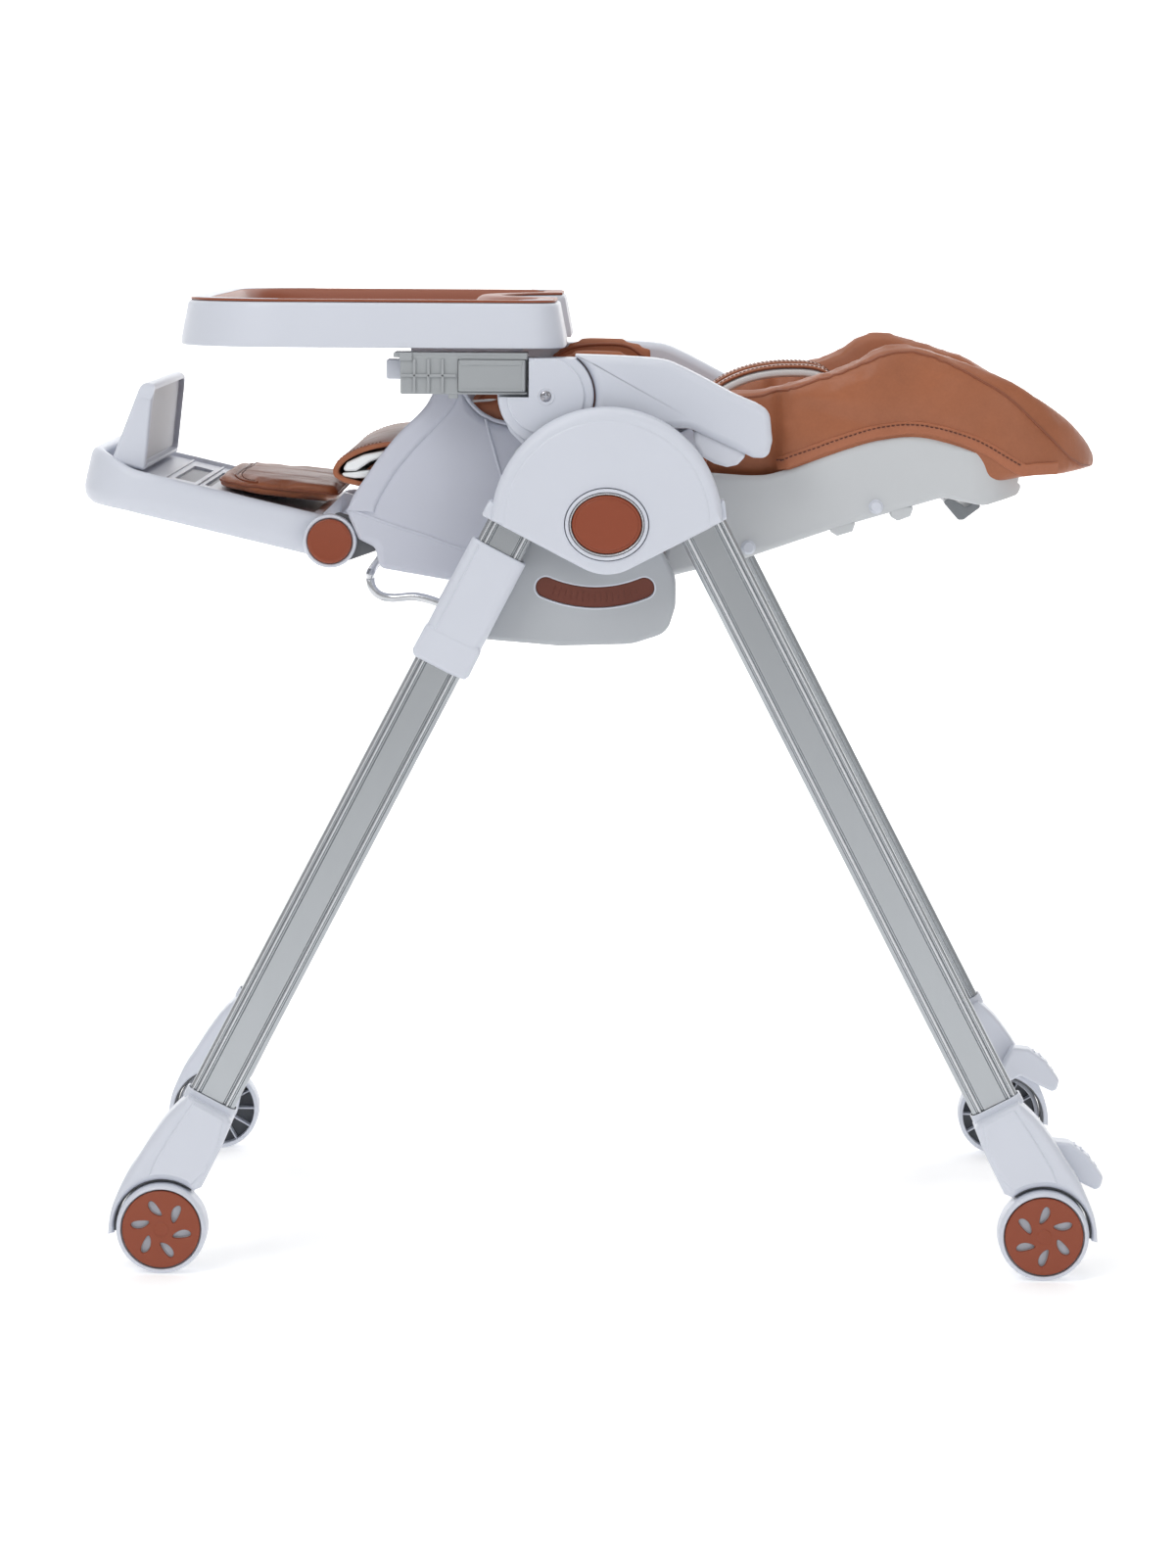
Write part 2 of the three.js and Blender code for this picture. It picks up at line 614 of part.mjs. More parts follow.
function backrestShell() {
  const outline = polygon([
    [57, 596], [122, 612], [195, 637], [290, 665], [325, 658], [357, 667], [362, 676],
    ...[...hemLine].reverse(), [66, 650],
  ]);
  const inside = polygon([[40, 604], [122, 618], [195, 643], [290, 671], [350, 673], [350, 760], [40, 760]]);
  const inner = BACK_HALF - BACK_WALL;
  const tub = cut(
    acrossX(outline, -BACK_HALF, BACK_HALF).intersect(backPlan(BACK_HALF, 362, 60)),
    acrossX(inside, -inner, inner).intersect(backPlan(inner, 358, 56)),
  );
  const pegs = [[122, 621], [232, 657]].flatMap(([y, z]) => [
    rodX(4.8, y, z, BACK_HALF - 2, BACK_HALF + 6, 5), rodX(4.8, y, z, -BACK_HALF - 6, 2 - BACK_HALF, 5)]);
  const tabs = [[196, 214, 636], [246, 262, 650]]
    .map(([y0, y1, z]) => box(-60, 60, y0, y1, z - 5, z + 4));
  return join(tub, ...pegs, ...tabs);
}

function backrestCushion() {
  const hem = hemLine.slice(1, 7).map(([y, z]) => [y, z + 0.6]);
  const outer = polygon([
    [84, 687], ...hem, [364, 682.5], [400, 684], [431, 690], [430, 700], [406, 729], [369, 757],
    [333, 780], [288, 796], [251, 802], [214, 790], [182, 777], [143, 763], [108, 757], [92, 735],
  ]);
  const filling = polygon([
    [62, 612], [122, 619.5], [195, 644.5], [290, 672.5], [349, 675], [349, 700], [100, 700], [76, 660],
  ]);
  const hollow = polygon([[40, 648], [110, 660], [300, 716], [352, 760], [352, 860], [40, 860]]);
  const inner = BACK_HALF - BACK_WALL - GAP;
  const body = join(
    acrossX(outer, -189, 189).intersect(backPlan(189, 432, 110)),
    acrossX(filling, -inner, inner).intersect(backPlan(inner, 357, 56)),
  );
  const narrow = [1, -1].map((hand) => {
    const flank = box(175, 200, 30, 142, 590, 820);
    return hand > 0 ? flank : flank.mirror([1, 0, 0]);
  });
  return cut(body, acrossX(hollow, -150, 150), ...narrow);
}

// One shoulder strap: a padded band that arches off the backrest and comes back down to it.
function shoulderStrap(x) {
  const outline = rounded([
    [78, 665], [80, 742], [100, 761], [132, 774], [165, 778], [195, 772], [232, 704], [222, 700], [188, 761],
    [160, 768], [134, 764], [106, 751], [90, 736], [88, 667],
  ], 6);
  return acrossX(outline, x - 18, x + 18, 0, 2);
}

function reclineLever() {
  const outline = rounded([
    [297, 654], [304, 657], [318, 649], [329, 655], [331, 649], [316, 637], [311, 637],
  ], 2.5);
  return acrossX(outline, -55, 55, 0, 2);
}

// ---------------------------------------------------------------- footrest
// A shape drawn in the footrest's own along and up, thick from x0 to x1.
function footrestPiece(shape, x0, x1, bevel = 0, curveSegments = 4) {
  const [c, s] = [Math.cos(FOOTREST_RISE), Math.sin(FOOTREST_RISE)];
  const geometry = prism(shape, x1 - x0, bevel, curveSegments);
  return solid(inAxes(geometry, [0, -c, s], [0, s, c], [1, 0, 0], [x0, ...FOOTREST_PIVOT]));
}
function footrestBlock(x0, x1, along0, along1, up0, up1) {
  return footrestPiece(polygon([[along0, up0], [along1, up0], [along1, up1], [along0, up1]]), x0, x1);
}
function footrestPlan(shape, up0, up1) {
  const [c, s] = [Math.cos(FOOTREST_RISE), Math.sin(FOOTREST_RISE)];
  const geometry = prism(shape, up1 - up0);
  const [py, pz] = FOOTREST_PIVOT;
  return solid(inAxes(geometry, [1, 0, 0], [0, -c, s], [0, s, c], [0, py + s * up0, pz + c * up0]));
}

function footrest() {
  const shape = new THREE.Shape();
  const front = FOOTREST_LENGTH - 17;
  shape.absarc(0, 0, 18.5, 0.5 * Math.PI, 1.5 * Math.PI);
  shape.lineTo(30, FOOTREST_LOW);
  shape.absarc(front, FOOTREST_LOW + 17, 17, 1.5 * Math.PI, 2 * Math.PI);
  shape.absarc(front, FOOTREST_HIGH - 17, 17, 0, 0.5 * Math.PI);
  shape.lineTo(30, FOOTREST_HIGH);
  shape.closePath();
  const corner = 62;
  const half = FOOTREST_HALF;
  const plan = new THREE.Shape();
  plan.moveTo(-half, -30);
  plan.lineTo(half, -30);
  plan.absarc(half - corner, FOOTREST_LENGTH - corner, corner, 0, 0.5 * Math.PI);
  plan.absarc(-half + corner, FOOTREST_LENGTH - corner, corner, 0.5 * Math.PI, Math.PI);
  plan.closePath();
  const slot = footrestBlock(-95, 95, 134, 151, 5, 25);
  return cut(
    footrestPiece(shape, -half, half, 2).intersect(footrestPlan(plan, -40, 40)),
    footrestBlock(18 - half, half - 18, -30, 14, -30, 30),
    footrestBlock(16 - half, half - 16, 24, 160, -30, 14),
    footrestBlock(70 - half, half - 70, 150, FOOTREST_LENGTH - 18, -30, 14),
    rodX(FOOTREST_PIN + GAP, ...FOOTREST_PIVOT, half - 17, half + 1),
    rodX(FOOTREST_PIN + GAP, ...FOOTREST_PIVOT, -half - 1, 17 - half),
    slot,
  );
}

function calfPad() {
  const up = FOOTREST_HIGH + GAP;
  const side = rounded([[2, up], [108, up], [110, up + 6], [100, up + 12], [6, up + 14]], 5);
  return footrestPiece(side, -132, 132, 0, 2);
}

function footPlate() {
  const up = FOOTREST_HIGH + GAP;
  const wedge = rounded([[173, up], [203, up], [192, up + 75], [182, up + 75]], 5);
  const inside = polygon([[160, up + 4], [197, up + 4], [189, up + 70], [160, up + 70]]);
  return cut(footrestPiece(wedge, -152, 152, 0, 2), footrestPiece(inside, -146, 146));
}

function footrestButton() {
  const x1 = FOOTREST_HALF + 17;
  return acrossX(disc(FOOTREST_CAP, ...FOOTREST_PIVOT), x1 - 2.4, x1 + 2.4, 1);
}

// ---------------------------------------------------------------- the assembly
const chair = new THREE.Group();
chair.position.y = CENTRE_SHIFT;

function add(name, body, finish) {
  const mesh = new THREE.Mesh(geometryOf(body), finishes[finish]());
  mesh.name = name;
  chair.add(mesh);
}
// The same piece on both sides: made for +X, and mirrored for the sitter's right.
function addPair(name, body, finish) {
  add(`${name}_left`, body, finish);
  add(`${name}_right`, body.mirror([1, 0, 0]), finish);
}

for (const [end, side] of [['front', -1], ['rear', 1]]) {
  addPair(`${end}_leg`, legTube(side), 'aluminium');
  addPair(`${end}_foot`, foot(side), 'white');
  add(`${end}_crossbar`, crossbar(side), 'aluminium');
  addPair(`${end}_wheel`, wheel(side), 'white');
  addPair(`${end}_wheel_cap`, wheelCap(side), 'brown');
}
addPair('brake_pedal', brakePedal(), 'white');

addPair('hub_cover', hubCover(), 'white');
addPair('rear_hub', rearHub(), 'white');
addPair('hub_axle', hubAxle(), 'aluminium');
addPair('fold_button', foldButton(), 'brown');

addPair('leg_sleeve', sleeve(), 'white');
addPair('side_bracket', sideBracket(), 'bracket');
addPair('height_trigger', heightTrigger(), 'brown');
add('under_seat_rod', underSeatRod(), 'aluminium');
add('seat_shell', seatShell(), 'grey');
add('seat_cushion', seatCushion(), 'leather');
add('crotch_strap', crotchStrap(), 'webbing');

addPair('arm_hub', armHub(), 'white');
addPair('armrest', armrest(), 'white');
addPair('armrest_lever', armrestLever(), 'bracket');

addPair('tray_rail', trayRail(), 'bracket');
addPair('tray_release', trayRelease(), 'bracket');
add('tray', tray(), 'white');
add('tray_insert', trayInsert(), 'brown');

add('backrest_shell', backrestShell(), 'bracket');
add('backrest_cushion', backrestCushion(), 'leather');
add('shoulder_strap_left', shoulderStrap(48), 'webbing');
add('shoulder_strap_right', shoulderStrap(-48), 'webbing');
add('recline_lever', reclineLever(), 'darkGrey');

add('footrest', footrest(), 'white');
add('calf_pad', calfPad(), 'leather');
add('foot_plate', footPlate(), 'bracket');
addPair('footrest_button', footrestButton(), 'brown');

export default chair;
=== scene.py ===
"""A folding baby high chair: the looks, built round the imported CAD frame.

Shapes are drawn in millimetres with Y = 0 at the folding axis and Z = 0 on the floor; to_frame() takes
them to the row frame in metres. X runs across the chair, and the sitter looks along -Y.
"""
import json
import math

import bmesh
import bpy
from mathutils import Matrix, Vector, noise
from mathutils.bvhtree import BVHTree

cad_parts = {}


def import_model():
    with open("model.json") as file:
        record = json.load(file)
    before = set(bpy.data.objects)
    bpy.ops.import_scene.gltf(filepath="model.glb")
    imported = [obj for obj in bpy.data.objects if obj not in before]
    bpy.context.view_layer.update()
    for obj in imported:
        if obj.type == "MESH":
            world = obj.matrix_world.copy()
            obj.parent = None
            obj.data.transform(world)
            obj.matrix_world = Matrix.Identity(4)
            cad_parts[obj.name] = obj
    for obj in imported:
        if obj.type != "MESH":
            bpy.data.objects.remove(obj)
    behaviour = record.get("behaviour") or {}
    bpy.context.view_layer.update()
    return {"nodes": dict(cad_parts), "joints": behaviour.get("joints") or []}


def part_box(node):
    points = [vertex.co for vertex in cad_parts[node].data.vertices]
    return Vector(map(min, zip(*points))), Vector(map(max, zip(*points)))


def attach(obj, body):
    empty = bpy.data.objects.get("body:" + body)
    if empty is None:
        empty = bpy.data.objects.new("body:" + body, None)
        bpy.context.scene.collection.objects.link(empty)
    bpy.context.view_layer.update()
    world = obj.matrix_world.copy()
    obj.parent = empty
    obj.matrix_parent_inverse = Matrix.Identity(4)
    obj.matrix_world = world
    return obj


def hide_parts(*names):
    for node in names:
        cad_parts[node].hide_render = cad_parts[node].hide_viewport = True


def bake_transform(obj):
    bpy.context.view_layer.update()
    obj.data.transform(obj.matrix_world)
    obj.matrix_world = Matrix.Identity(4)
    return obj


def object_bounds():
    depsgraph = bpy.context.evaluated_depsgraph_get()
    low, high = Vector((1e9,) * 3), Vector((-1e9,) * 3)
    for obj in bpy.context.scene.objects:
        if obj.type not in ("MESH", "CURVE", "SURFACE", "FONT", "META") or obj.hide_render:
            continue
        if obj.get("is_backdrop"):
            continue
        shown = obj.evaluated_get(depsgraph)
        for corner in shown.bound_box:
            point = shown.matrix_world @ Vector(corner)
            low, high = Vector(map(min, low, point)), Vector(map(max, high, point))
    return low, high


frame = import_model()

JOINTS = {joint["name"]: joint for joint in frame["joints"]}
FOLD_Y, FOLD_Z = (1000 * value for value in JOINTS["fold"]["pos_m"][1:])
TO_FRAME = Matrix.Scale(0.001, 4) @ Matrix.Translation((0, FOLD_Y, 0))
SIDES = ("left", "right")
LEG_TILT = math.radians(27.4)
LEG_OFFSET = 70
LEG_X = 269


def span(node):
    """A CAD node's box in the drawing's millimetres: (x0, x1, y0, y1, z0, z1)."""
    low, high = (1000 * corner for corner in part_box(node))
    return low.x, high.x, low.y - FOLD_Y, high.y - FOLD_Y, low.z, high.z


def pivot(joint):
    """Where a joint lies in the side view: (y, z) in the drawing's millimetres."""
    _, y, z = JOINTS[joint]["pos_m"]
    return 1000 * y - FOLD_Y, 1000 * z


# ---------------------------------------------------------------- materials
def linear(red, green, blue):
    """An sRGB colour, 0 to 255, as the linear colour that a shader takes."""
    def one(value):
        value /= 255
        return value / 12.92 if value <= 0.04045 else ((value + 0.055) / 1.055) ** 2.4
    return one(red), one(green), one(blue), 1.0


class Nodes:
    """A new material's node tree, with short calls to add and link nodes."""

    def __init__(self, name):
        self.material = bpy.data.materials.new(name)
        self.material.use_nodes = True
        self.tree = self.material.node_tree
        self.shader = self.tree.nodes["Principled BSDF"]
        self.place = self.add("ShaderNodeTexCoord").outputs["Object"]

    def add(self, kind, **settings):
        node = self.tree.nodes.new(kind)
        for key, value in settings.items():
            if hasattr(node, key):
                setattr(node, key, value)
            else:
                node.inputs[key.replace("_", " ")].default_value = value
        return node

    def link(self, source, target):
        self.tree.links.new(source, target)

    def stretched(self, scale, turn=(0, 0, 0)):
        mapping = self.add("ShaderNodeMapping")
        mapping.inputs["Scale"].default_value = scale
        mapping.inputs["Rotation"].default_value = turn
        self.link(self.place, mapping.inputs["Vector"])
        return mapping.outputs["Vector"]

    def noise(self, scale, detail=2.0, vector=None, roughness=0.5):
        node = self.add("ShaderNodeTexNoise", Scale=scale, Detail=detail, Roughness=roughness)
        self.link(vector or self.place, node.inputs["Vector"])
        return node.outputs["Fac"]

    def cells(self, scale):
        node = self.add("ShaderNodeTexVoronoi", feature="DISTANCE_TO_EDGE", Scale=scale)
        self.link(self.place, node.inputs["Vector"])
        return node.outputs["Distance"]

    def spread(self, value, low, high, from_low=0.3, from_high=0.7):
        node = self.add("ShaderNodeMapRange")
        self.link(value, node.inputs["Value"])
        sockets = ("From Min", "From Max", "To Min", "To Max")
        for key, number in zip(sockets, (from_low, from_high, low, high)):
            node.inputs[key].default_value = number
        return node.outputs["Result"]

    def tint(self, factor, first, second):
        node = self.add("ShaderNodeMix", data_type="RGBA")
        self.link(factor, node.inputs[0])
        node.inputs[6].default_value = first
        node.inputs[7].default_value = second
        self.link(node.outputs[2], self.shader.inputs["Base Color"])
        return node.outputs[2]

    def relief(self, *layers):
        """Bump layers, each (height socket, strength, depth in metres), one on top of the other."""
        normal = None
        for height, strength, depth in layers:
            bump = self.add("ShaderNodeBump", Strength=strength, Distance=depth)
            self.link(height, bump.inputs["Height"])
            if normal is not None:
                self.link(normal, bump.inputs["Normal"])
            normal = bump.outputs["Normal"]
        self.link(normal, self.shader.inputs["Normal"])

    def settings(self, **values):
        for key, value in values.items():
            self.shader.inputs[key.replace("_", " ")].default_value = value


def shade(color, factor):
    return tuple(channel * factor for channel in color[:3]) + (1.0,)


def plastic(name, color, roughness, grain=0.06, coat=0.0):
    """Moulded plastic: a faint orange-peel skin, fine grain, and slightly uneven gloss and tone."""
    nodes = Nodes(name)
    patches = nodes.noise(9, 3)
    nodes.tint(nodes.spread(patches, 0, 1), shade(color, 0.985), shade(color, 1.01))
    haze = nodes.noise(5, 2)
    nodes.link(nodes.spread(haze, roughness - 0.015, roughness + 0.02), nodes.shader.inputs["Roughness"])
    nodes.relief((nodes.noise(2600, 3), grain, 0.00008),)
    nodes.settings(Specular_IOR_Level=0.5, Coat_Weight=coat, Coat_Roughness=0.3)
    return nodes.material


def leatherette(name, color, wear=1.0):
    """Coated fabric: a pebbled grain about a millimetre across, soft creases, paler rubbed high spots."""
    nodes = Nodes(name)
    blotch = nodes.noise(17, 4, roughness=0.6)
    fine = nodes.noise(420, 4)
    mixed = nodes.add("ShaderNodeMath", operation="MULTIPLY_ADD")
    nodes.link(fine, mixed.inputs[0])
    mixed.inputs[1].default_value = 0.35
    nodes.link(blotch, mixed.inputs[2])
    nodes.tint(nodes.spread(mixed.outputs[0], 0, 1, 0.35, 1.0), shade(color, 0.86), shade(color, 1.13))
    nodes.link(nodes.spread(blotch, 0.5, 0.36), nodes.shader.inputs["Roughness"])
    pebbles = nodes.cells(950)
    creases = nodes.noise(55, 5, nodes.stretched((1, 0.55, 1.3)))
    nodes.relief((creases, 0.07 * wear, 0.0016), (nodes.spread(pebbles, 0, 1, 0, 0.35), 0.32, 0.00016))
    nodes.settings(Specular_IOR_Level=0.42, Sheen_Weight=0.06, Sheen_Roughness=0.4)
    return nodes.material


def woven(name, color):
    """Webbing: crossing yarns 1.1 mm apart."""
    nodes = Nodes(name)
    heights = []
    for turn in (0.0, math.pi / 2):
        wave = nodes.add("ShaderNodeTexWave", wave_type="BANDS", bands_direction="X", Scale=280.0,
                         Distortion=0.4)
        nodes.link(nodes.stretched((1, 1, 1), (0.5, 0.0, turn)), wave.inputs["Vector"])
        heights.append(wave.outputs["Fac"])
    weave = nodes.add("ShaderNodeMath", operation="MAXIMUM")
    nodes.link(heights[0], weave.inputs[0])
    nodes.link(heights[1], weave.inputs[1])
    nodes.tint(nodes.spread(weave.outputs[0], 0, 1, 0.2, 0.9), shade(color, 0.8), shade(color, 1.02))
    nodes.relief((weave.outputs[0], 0.5, 0.0003), (nodes.noise(3000, 2), 0.2, 0.0001))
    nodes.settings(Roughness=0.78, Specular_IOR_Level=0.25, Sheen_Weight=0.25, Sheen_Roughness=0.5)
    return nodes.material


def brushed(name, color, roughness, turn):
    """Anodised tube: fine draw lines that run along it."""
    nodes = Nodes(name)
    lines = nodes.noise(1.0, 2, nodes.stretched((1800, 1800, 6), turn))
    patches = nodes.noise(4, 2)
    nodes.tint(nodes.spread(patches, 0, 1), shade(color, 0.98), shade(color, 1.02))
    nodes.link(nodes.spread(lines, roughness - 0.015, roughness + 0.02), nodes.shader.inputs["Roughness"])
    nodes.relief((lines, 0.012, 0.00002),)
    nodes.settings(Metallic=0.85)
    return nodes.material


ALONG_X = (0, math.pi / 2, 0)
FINISHES = {
    "white": ("white_plastic", plastic, "white_satin_gloss_plastic", (211, 215, 225), 0.4, 0.03, 0.06),
    "white_satin": ("white_plastic", plastic, "white_satin_plastic", (214, 217, 226), 0.42, 0.05),
    "shell": ("shell_plastic", plastic, "seat_shell_plastic", (200, 203, 215), 0.46, 0.09),
    "bracket": ("bracket_plastic", plastic, "bracket_plastic", (178, 182, 187), 0.5, 0.1),
    "rail": ("bracket_plastic", plastic, "tray_rail_plastic", (163, 167, 170), 0.5, 0.1),
    "back_shell": ("bracket_plastic", plastic, "back_shell_plastic", (199, 202, 205), 0.5, 0.1),
    "plate": ("bracket_plastic", plastic, "foot_plate_plastic", (172, 174, 180), 0.5, 0.1),
    # dark: the hinge arms' own dark plastic, and also the painted shade sheet behind each wheel arch's gap.
    "dark": ("dark_plastic", plastic, "dark_hardware_plastic", (92, 94, 98), 0.5, 0.12),
    "hook": ("dark_plastic", plastic, "hook_plastic", (128, 132, 136), 0.24, 0.05, 0.3),
    "inner_face": ("bracket_plastic", plastic, "foot_plate_inner_face", (192, 194, 200), 0.5, 0.05),
    # hollow: a dark grey that paints the shade inside the wheels' hollow backs.
    "hollow": ("dark_plastic", plastic, "wheel_core_plastic", (96, 99, 104), 0.55, 0.12),
    "brown": ("brown_plastic", plastic, "brown_satin_plastic", (142, 66, 38), 0.42, 0.12),
    # The trigger's brown, darkened to paint the shade of the recess it sits in: partly its own colour, partly
    # painted shade.
    "brown_recess_shaded": ("brown_plastic", plastic, "brown_recess_plastic", (106, 51, 36), 0.5, 0.12),
    "insert": ("brown_plastic", plastic, "tray_insert_plastic", (146, 78, 50), 0.4, 0.1),
    "leather": ("leatherette", leatherette, "saddle_leatherette", (161, 97, 65)),
    "leather_side": ("leatherette", leatherette, "saddle_leatherette_panel", (140, 80, 54)),
    "leather_edge": ("leatherette", leatherette, "saddle_leatherette_binding", (170, 103, 71), 0.6),
    "thread": ("leatherette", woven, "seam_thread", (92, 48, 32)),
    "webbing": ("webbing", woven, "white_webbing", (240, 243, 244)),
    "leg_front": ("anodised_tube", brushed, "anodised_front_leg", (181, 185, 189), 0.22, (LEG_TILT, 0, 0)),
    "leg_rear": ("anodised_tube", brushed, "anodised_rear_leg", (181, 185, 189), 0.22, (-LEG_TILT, 0, 0)),
    # rod: the rods' own bright metal; on the legs the same finish paints highlight lines.
    "rod": ("anodised_tube", brushed, "bright_rod", (208, 210, 214), 0.22, ALONG_X),
    "screw": ("anodised_tube", brushed, "screw_metal", (160, 160, 166), 0.2, ALONG_X),
}
FINISH = {key: make(name, linear(*color), *rest) for key, (_, make, name, color, *rest) in FINISHES.items()}


# ---------------------------------------------------------------- meshes
def smooth(mesh):
    mesh.polygons.foreach_set("use_smooth", [True] * len(mesh.polygons))
    return mesh


def to_frame(mesh, angle):
    """A finished drawing-space mesh, moved to the row frame and shaded smooth up to the angle given."""
    mesh.transform(TO_FRAME)
    smooth(mesh).set_sharp_from_angle(angle=math.radians(angle))
    return mesh


def new_object(name, data):
    made = bpy.data.objects.new(name, data)
    bpy.context.scene.collection.objects.link(made)
    return made


def from_bmesh(bm):
    bmesh.ops.recalc_face_normals(bm, faces=bm.faces)
    mesh = bpy.data.meshes.new("piece")
    bm.to_mesh(mesh)
    bm.free()
    return mesh


def mirrored(mesh, along=(1, 0, 0)):
    copy = mesh.copy()
    copy.transform(Matrix.Scale(-1, 4, along))
    copy.flip_normals()
    return copy


def finished(name, mesh, finish):
    """A mesh in the row frame as an object, with its finish."""
    piece = new_object(name, mesh)
    mesh.name = name
    mesh.materials.clear()
    mesh.materials.append(FINISH[finish])
    return piece


def riding(name, mesh, finish, body, replaces, weighted=True):
    """A mesh in the row frame becomes a piece that rides on a body."""
    piece = finished(name, mesh, finish)
    if weighted:
        piece.modifiers.new("even_normals", "WEIGHTED_NORMAL").keep_sharp = True
    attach(piece, body)
    if replaces:
        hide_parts(*replaces)
    return piece


def place(name, mesh, finish, body, replaces=(), weighted=True, angle=38):
    """A drawing becomes a piece; edges sharper than the angle stay sharp."""
    return riding(name, to_frame(mesh, angle), finish, body, replaces, weighted)


def both(name, mesh, finish, body, replaces=(), angle=38):
    """The piece drawn for the sitter's left, and its mirror image on the right; {} stands for the side."""
    mesh = to_frame(mesh, angle)
    for side, data in zip(SIDES, (mesh, mirrored(mesh))):
        riding(f"{name}_{side}", data, finish, body.format(side), [node.format(side) for node in replaces])


def rectangle(a0, a1, b0, b1):
    return [(a0, b0), (a1, b0), (a1, b1), (a0, b1)]


def whole_turn(count):
    return [2 * math.pi * k / count for k in range(count)]


def fillet(points, radius, steps=6):
    """A closed outline with its corners rounded; a point may carry its own radius as a third number."""
    made = []
    for i, point in enumerate(points):
        corner = Vector(point[:2])
        before = Vector(points[i - 1][:2]) - corner
        after = Vector(points[(i + 1) % len(points)][:2]) - corner
        size = point[2] if len(point) > 2 else radius
        bend = before.angle(after, math.pi)
        reach = size / max(math.tan(bend / 2), 1e-6)
        limit = min(before.length, after.length) * 0.49
        reach = min(reach, limit)
        if reach < 0.05 or bend > math.pi - 0.02:
            made.append(tuple(corner))
            continue
        size = reach * math.tan(bend / 2)
        enter, leave = corner + before.normalized() * reach, corner + after.normalized() * reach
        halfway = (before.normalized() + after.normalized()).normalized()
        centre = corner + halfway * (size / math.sin(bend / 2))
        start, end = enter - centre, leave - centre
        total = start.angle_signed(end)
        count = max(2, round(steps * abs(total) / (math.pi / 2)) + 1)
        for k in range(count + 1):
            turned = Matrix.Rotation(-total * k / count, 2) @ start
            made.append(tuple(centre + turned))
    return made


def arc(cy, cz, radius, start, end, count):
    """Points on an arc, angles in degrees."""
    angles = [math.radians(start + (end - start) * k / count) for k in range(count + 1)]
    return [(cy + radius * math.cos(angle), cz + radius * math.sin(angle)) for angle in angles]


def oval(cy, cz, ry, rz, count=64):
    return [(cy + ry * math.cos(angle), cz + rz * math.sin(angle)) for angle in whole_turn(count)]


def spline(points, per):
    """A smooth curve through the points, of any dimension."""
    points = [Vector(point) for point in points]
    last = len(points) - 1
    made = []
    for i in range(last):
        p0, p1, p2, p3 = (points[min(max(i + k, 0), last)] for k in (-1, 0, 1, 2))
        for k in range(per):
            t = k / per
            made.append(0.5 * (2 * p1 + (p2 - p0) * t + (2 * p0 - 5 * p1 + 4 * p2 - p3) * t * t
                               + (3 * p1 - p0 - 3 * p2 + p3) * t ** 3))
    return made + [points[-1]]


def area(loop):
    return sum(a[0] * b[1] - b[0] * a[1] for a, b in zip(loop, loop[1:] + loop[:1])) / 2


def turned_to(loop, positive):
    loop = [tuple(point[:2]) for point in loop]
    return loop if (area(loop) > 0) == positive else loop[::-1]


def mitres(loop):
    """For each point, the way to its left that keeps both its edges' distance."""
    made = []
    for i, point in enumerate(loop):
        here = Vector(point)
        before = (here - Vector(loop[i - 1])).normalized()
        after = (Vector(loop[(i + 1) % len(loop)]) - here).normalized()
        first, second = Vector((-before.y, before.x)), Vector((-after.y, after.x))
        made.append((first + second) / max(1 + first.dot(second), 0.35))
    return made


def room(loop):
    """How far each point can move inward before it meets the far side or its neighbours."""
    ways = mitres(loop)
    count = len(loop)
    lengths = [(Vector(loop[(i + 1) % count]) - Vector(loop[i])).length for i in range(count)]
    limits = []
    for point, way in zip(loop, ways):
        here, ahead = Vector(point), way.normalized()
        nearest = 1e9
        for start, end in zip(loop, loop[1:] + loop[:1]):
            a, edge = Vector(start) - here, Vector(end) - Vector(start)
            turn = ahead.x * edge.y - ahead.y * edge.x
            if abs(turn) < 1e-9:
                continue
            reach = (a.x * edge.y - a.y * edge.x) / turn
            share = (a.x * ahead.y - a.y * ahead.x) / turn
            if reach > 0.05 and -0.001 <= share <= 1.001:
                nearest = min(nearest, reach)
        limits.append(0.42 * nearest)
    for i in range(count):
        j = (i + 1) % count
        along = (Vector(loop[j]) - Vector(loop[i])) / lengths[i]
        closing = -(ways[j] - ways[i]).dot(along)
        if closing > 1e-6:
            limit = 0.8 * lengths[i] / closing
            limits[i], limits[j] = min(limits[i], limit), min(limits[j], limit)
    for i in [*range(count), *range(count)]:
        limits[i] = min(limits[i], limits[i - 1] + 0.5 * lengths[i - 1])
    for i in [*range(count), *range(count)][::-1]:
        limits[i] = min(limits[i], limits[(i + 1) % count] + 0.5 * lengths[i])
    return limits


def inset(loop, distance, limits=None):
    """The loop moved to its left by the distance, or by as much of it as there is room for."""
    made = []
    for i, (point, way) in enumerate(zip(loop, mitres(loop))):
        step = distance if limits is None else distance * limits[i]
        made.append(tuple(Vector(point) + way * step))
    return made


def edge_profile(depth0, depth1, steps):
    """(inset, position 0 to 1 side, offset) pairs that round both rims of a plate."""
    rows = []
    for k in range(steps + 1):
        angle = math.pi / 2 * k / steps
        rows.append((depth0 * (1 - math.sin(angle)), 0, depth0 * (1 - math.cos(angle))))
    for k in range(steps + 1):
        angle = math.pi / 2 * (1 - k / steps)
        rows.append((depth1 * (1 - math.sin(angle)), 1, -depth1 * (1 - math.cos(angle))))
    return rows


def skin(bm, rings, closed=False):
    """Faces between neighbouring rings of vertices."""
    for first, second in zip(rings, rings[1:] + rings[:1] if closed else rings[1:]):
        count = len(first)
        for i in range(count):
            j = (i + 1) % count
            bm.faces.new((first[i], first[j], second[j], second[i]))


def loft(rings, closed=False, caps=()):
    """One skin over rings of 3-D points. caps says which way round, 1 or -1, each end is closed by a face."""
    bm = bmesh.new()
    made = [[bm.verts.new(point) for point in ring] for ring in rings]
    skin(bm, made, closed)
    for ring, way in zip((made[0], made[-1]), caps):
        bm.faces.new(ring[::way])
    return from_bmesh(bm)


